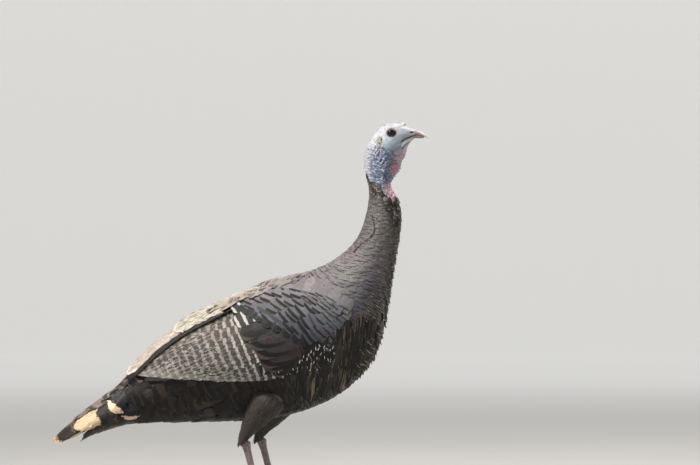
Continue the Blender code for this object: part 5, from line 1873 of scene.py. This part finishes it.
# The lower bill's horn is darker than the upper's: partly its own grey brown, partly painted shade under the
# upper bill.
build_bill(horn_material("bill_horn", (0.27, 0.225, 0.235), (0.42, 0.345, 0.325), (0.56, 0.56, 0.45),
                         (0.22, 0.18, 0.165), 0.3),
           horn_material("lower_bill_horn_and_shade", (0.2, 0.165, 0.165), (0.26, 0.2, 0.185), (0.4, 0.34, 0.28),
                         (0.14, 0.115, 0.105), 0.34))
build_claws(horn_material("claw_horn", (0.075, 0.06, 0.052), (0.045, 0.036, 0.032), (0.1, 0.085, 0.07),
                          (0.16, 0.13, 0.11), 0.35))
build_bristles(bristle_material())


# --- floor, light and camera -------------------------------------------------------------------------------

FLOOR_REACH, FLOOR_BEND, WALL_TOP = 9.0, 2.0, 7.0


def backdrop():
    """A wide floor that curves up into a wall all round, so that no side is blocked."""
    m = Tree("pale_paper")
    tint = m.noise(m.place(), 3.0, 3.0)
    away = m.node("ShaderNodeVectorMath", {0: m.place()}, operation="LENGTH").outputs["Value"]
    floor = m.mix(tint, (0.38, 0.377, 0.367, 1), (0.42, 0.417, 0.405, 1))
    wall = m.ramp(away, 1.2, 7.0)
    m.finish(Base_Color=m.mix(wall, floor, (0.6, 0.595, 0.58, 1)), Roughness=0.85, Specular_IOR_Level=0.15,
             Emission_Color=(1.0, 0.99, 0.97, 1), Emission_Strength=m.times_plus(wall, 0.36, 0.02))
    turn = np.linspace(0, math.pi / 2, 24)
    radius = np.concatenate([[0.0], FLOOR_REACH + FLOOR_BEND * np.sin(turn), [FLOOR_REACH + FLOOR_BEND]])
    height = np.concatenate([[0.0], FLOOR_BEND * (1 - np.cos(turn)), [WALL_TOP]])
    angle = np.linspace(0, 2 * np.pi, 96, endpoint=False)
    points = np.stack(np.broadcast_arrays(radius[:, None] * np.cos(angle), radius[:, None] * np.sin(angle),
                                          height[:, None]), -1)
    obj = make_mesh("backdrop", points.reshape(-1, 3), grid_faces(len(radius), 96)[:, ::-1])
    obj.data.materials.append(m.material)


def soft_light(name, place, target, size, watts, colour):
    lamp = bpy.data.lights.new(name, "AREA")
    lamp.shape, lamp.size, lamp.energy, lamp.color = "DISK", size, watts, colour
    obj = bpy.data.objects.new(name, lamp)
    obj.location = place
    obj.rotation_euler = (Vector(target) - Vector(place)).to_track_quat("-Z", "Y").to_euler()
    bpy.context.scene.collection.objects.link(obj)


backdrop()
MIDDLE = (0.05, 0.0, 0.4)
soft_light("key", (-1.4, -1.1, 3.1), MIDDLE, 0.5, 185.0, (1.0, 0.955, 0.89))
soft_light("fill", (1.8, -3.4, 0.9), MIDDLE, 2.2, 8.0, (0.9, 0.95, 1.0))
soft_light("rim", (1.3, 1.5, 2.5), MIDDLE, 0.8, 60.0, (1.0, 0.97, 0.92))
world = bpy.data.worlds.new("studio")
world.use_nodes = True
world.node_tree.nodes["Background"].inputs["Color"].default_value = (0.86, 0.92, 1.0, 1)
world.node_tree.nodes["Background"].inputs["Strength"].default_value = 0.22
bpy.context.scene.world = world
bpy.context.scene.view_settings.view_transform = "Standard"

camera = bpy.data.cameras.new("camera")
camera.lens, camera.sensor_width = 200.0, 36.0
eye_point = bpy.data.objects.new("camera", camera)
eye_point.location = (0.198 + SHIFT, -7.0, 0.5085)
eye_point.rotation_euler = (math.pi / 2, 0, 0)
bpy.context.scene.collection.objects.link(eye_point)
bpy.context.scene.camera = eye_point
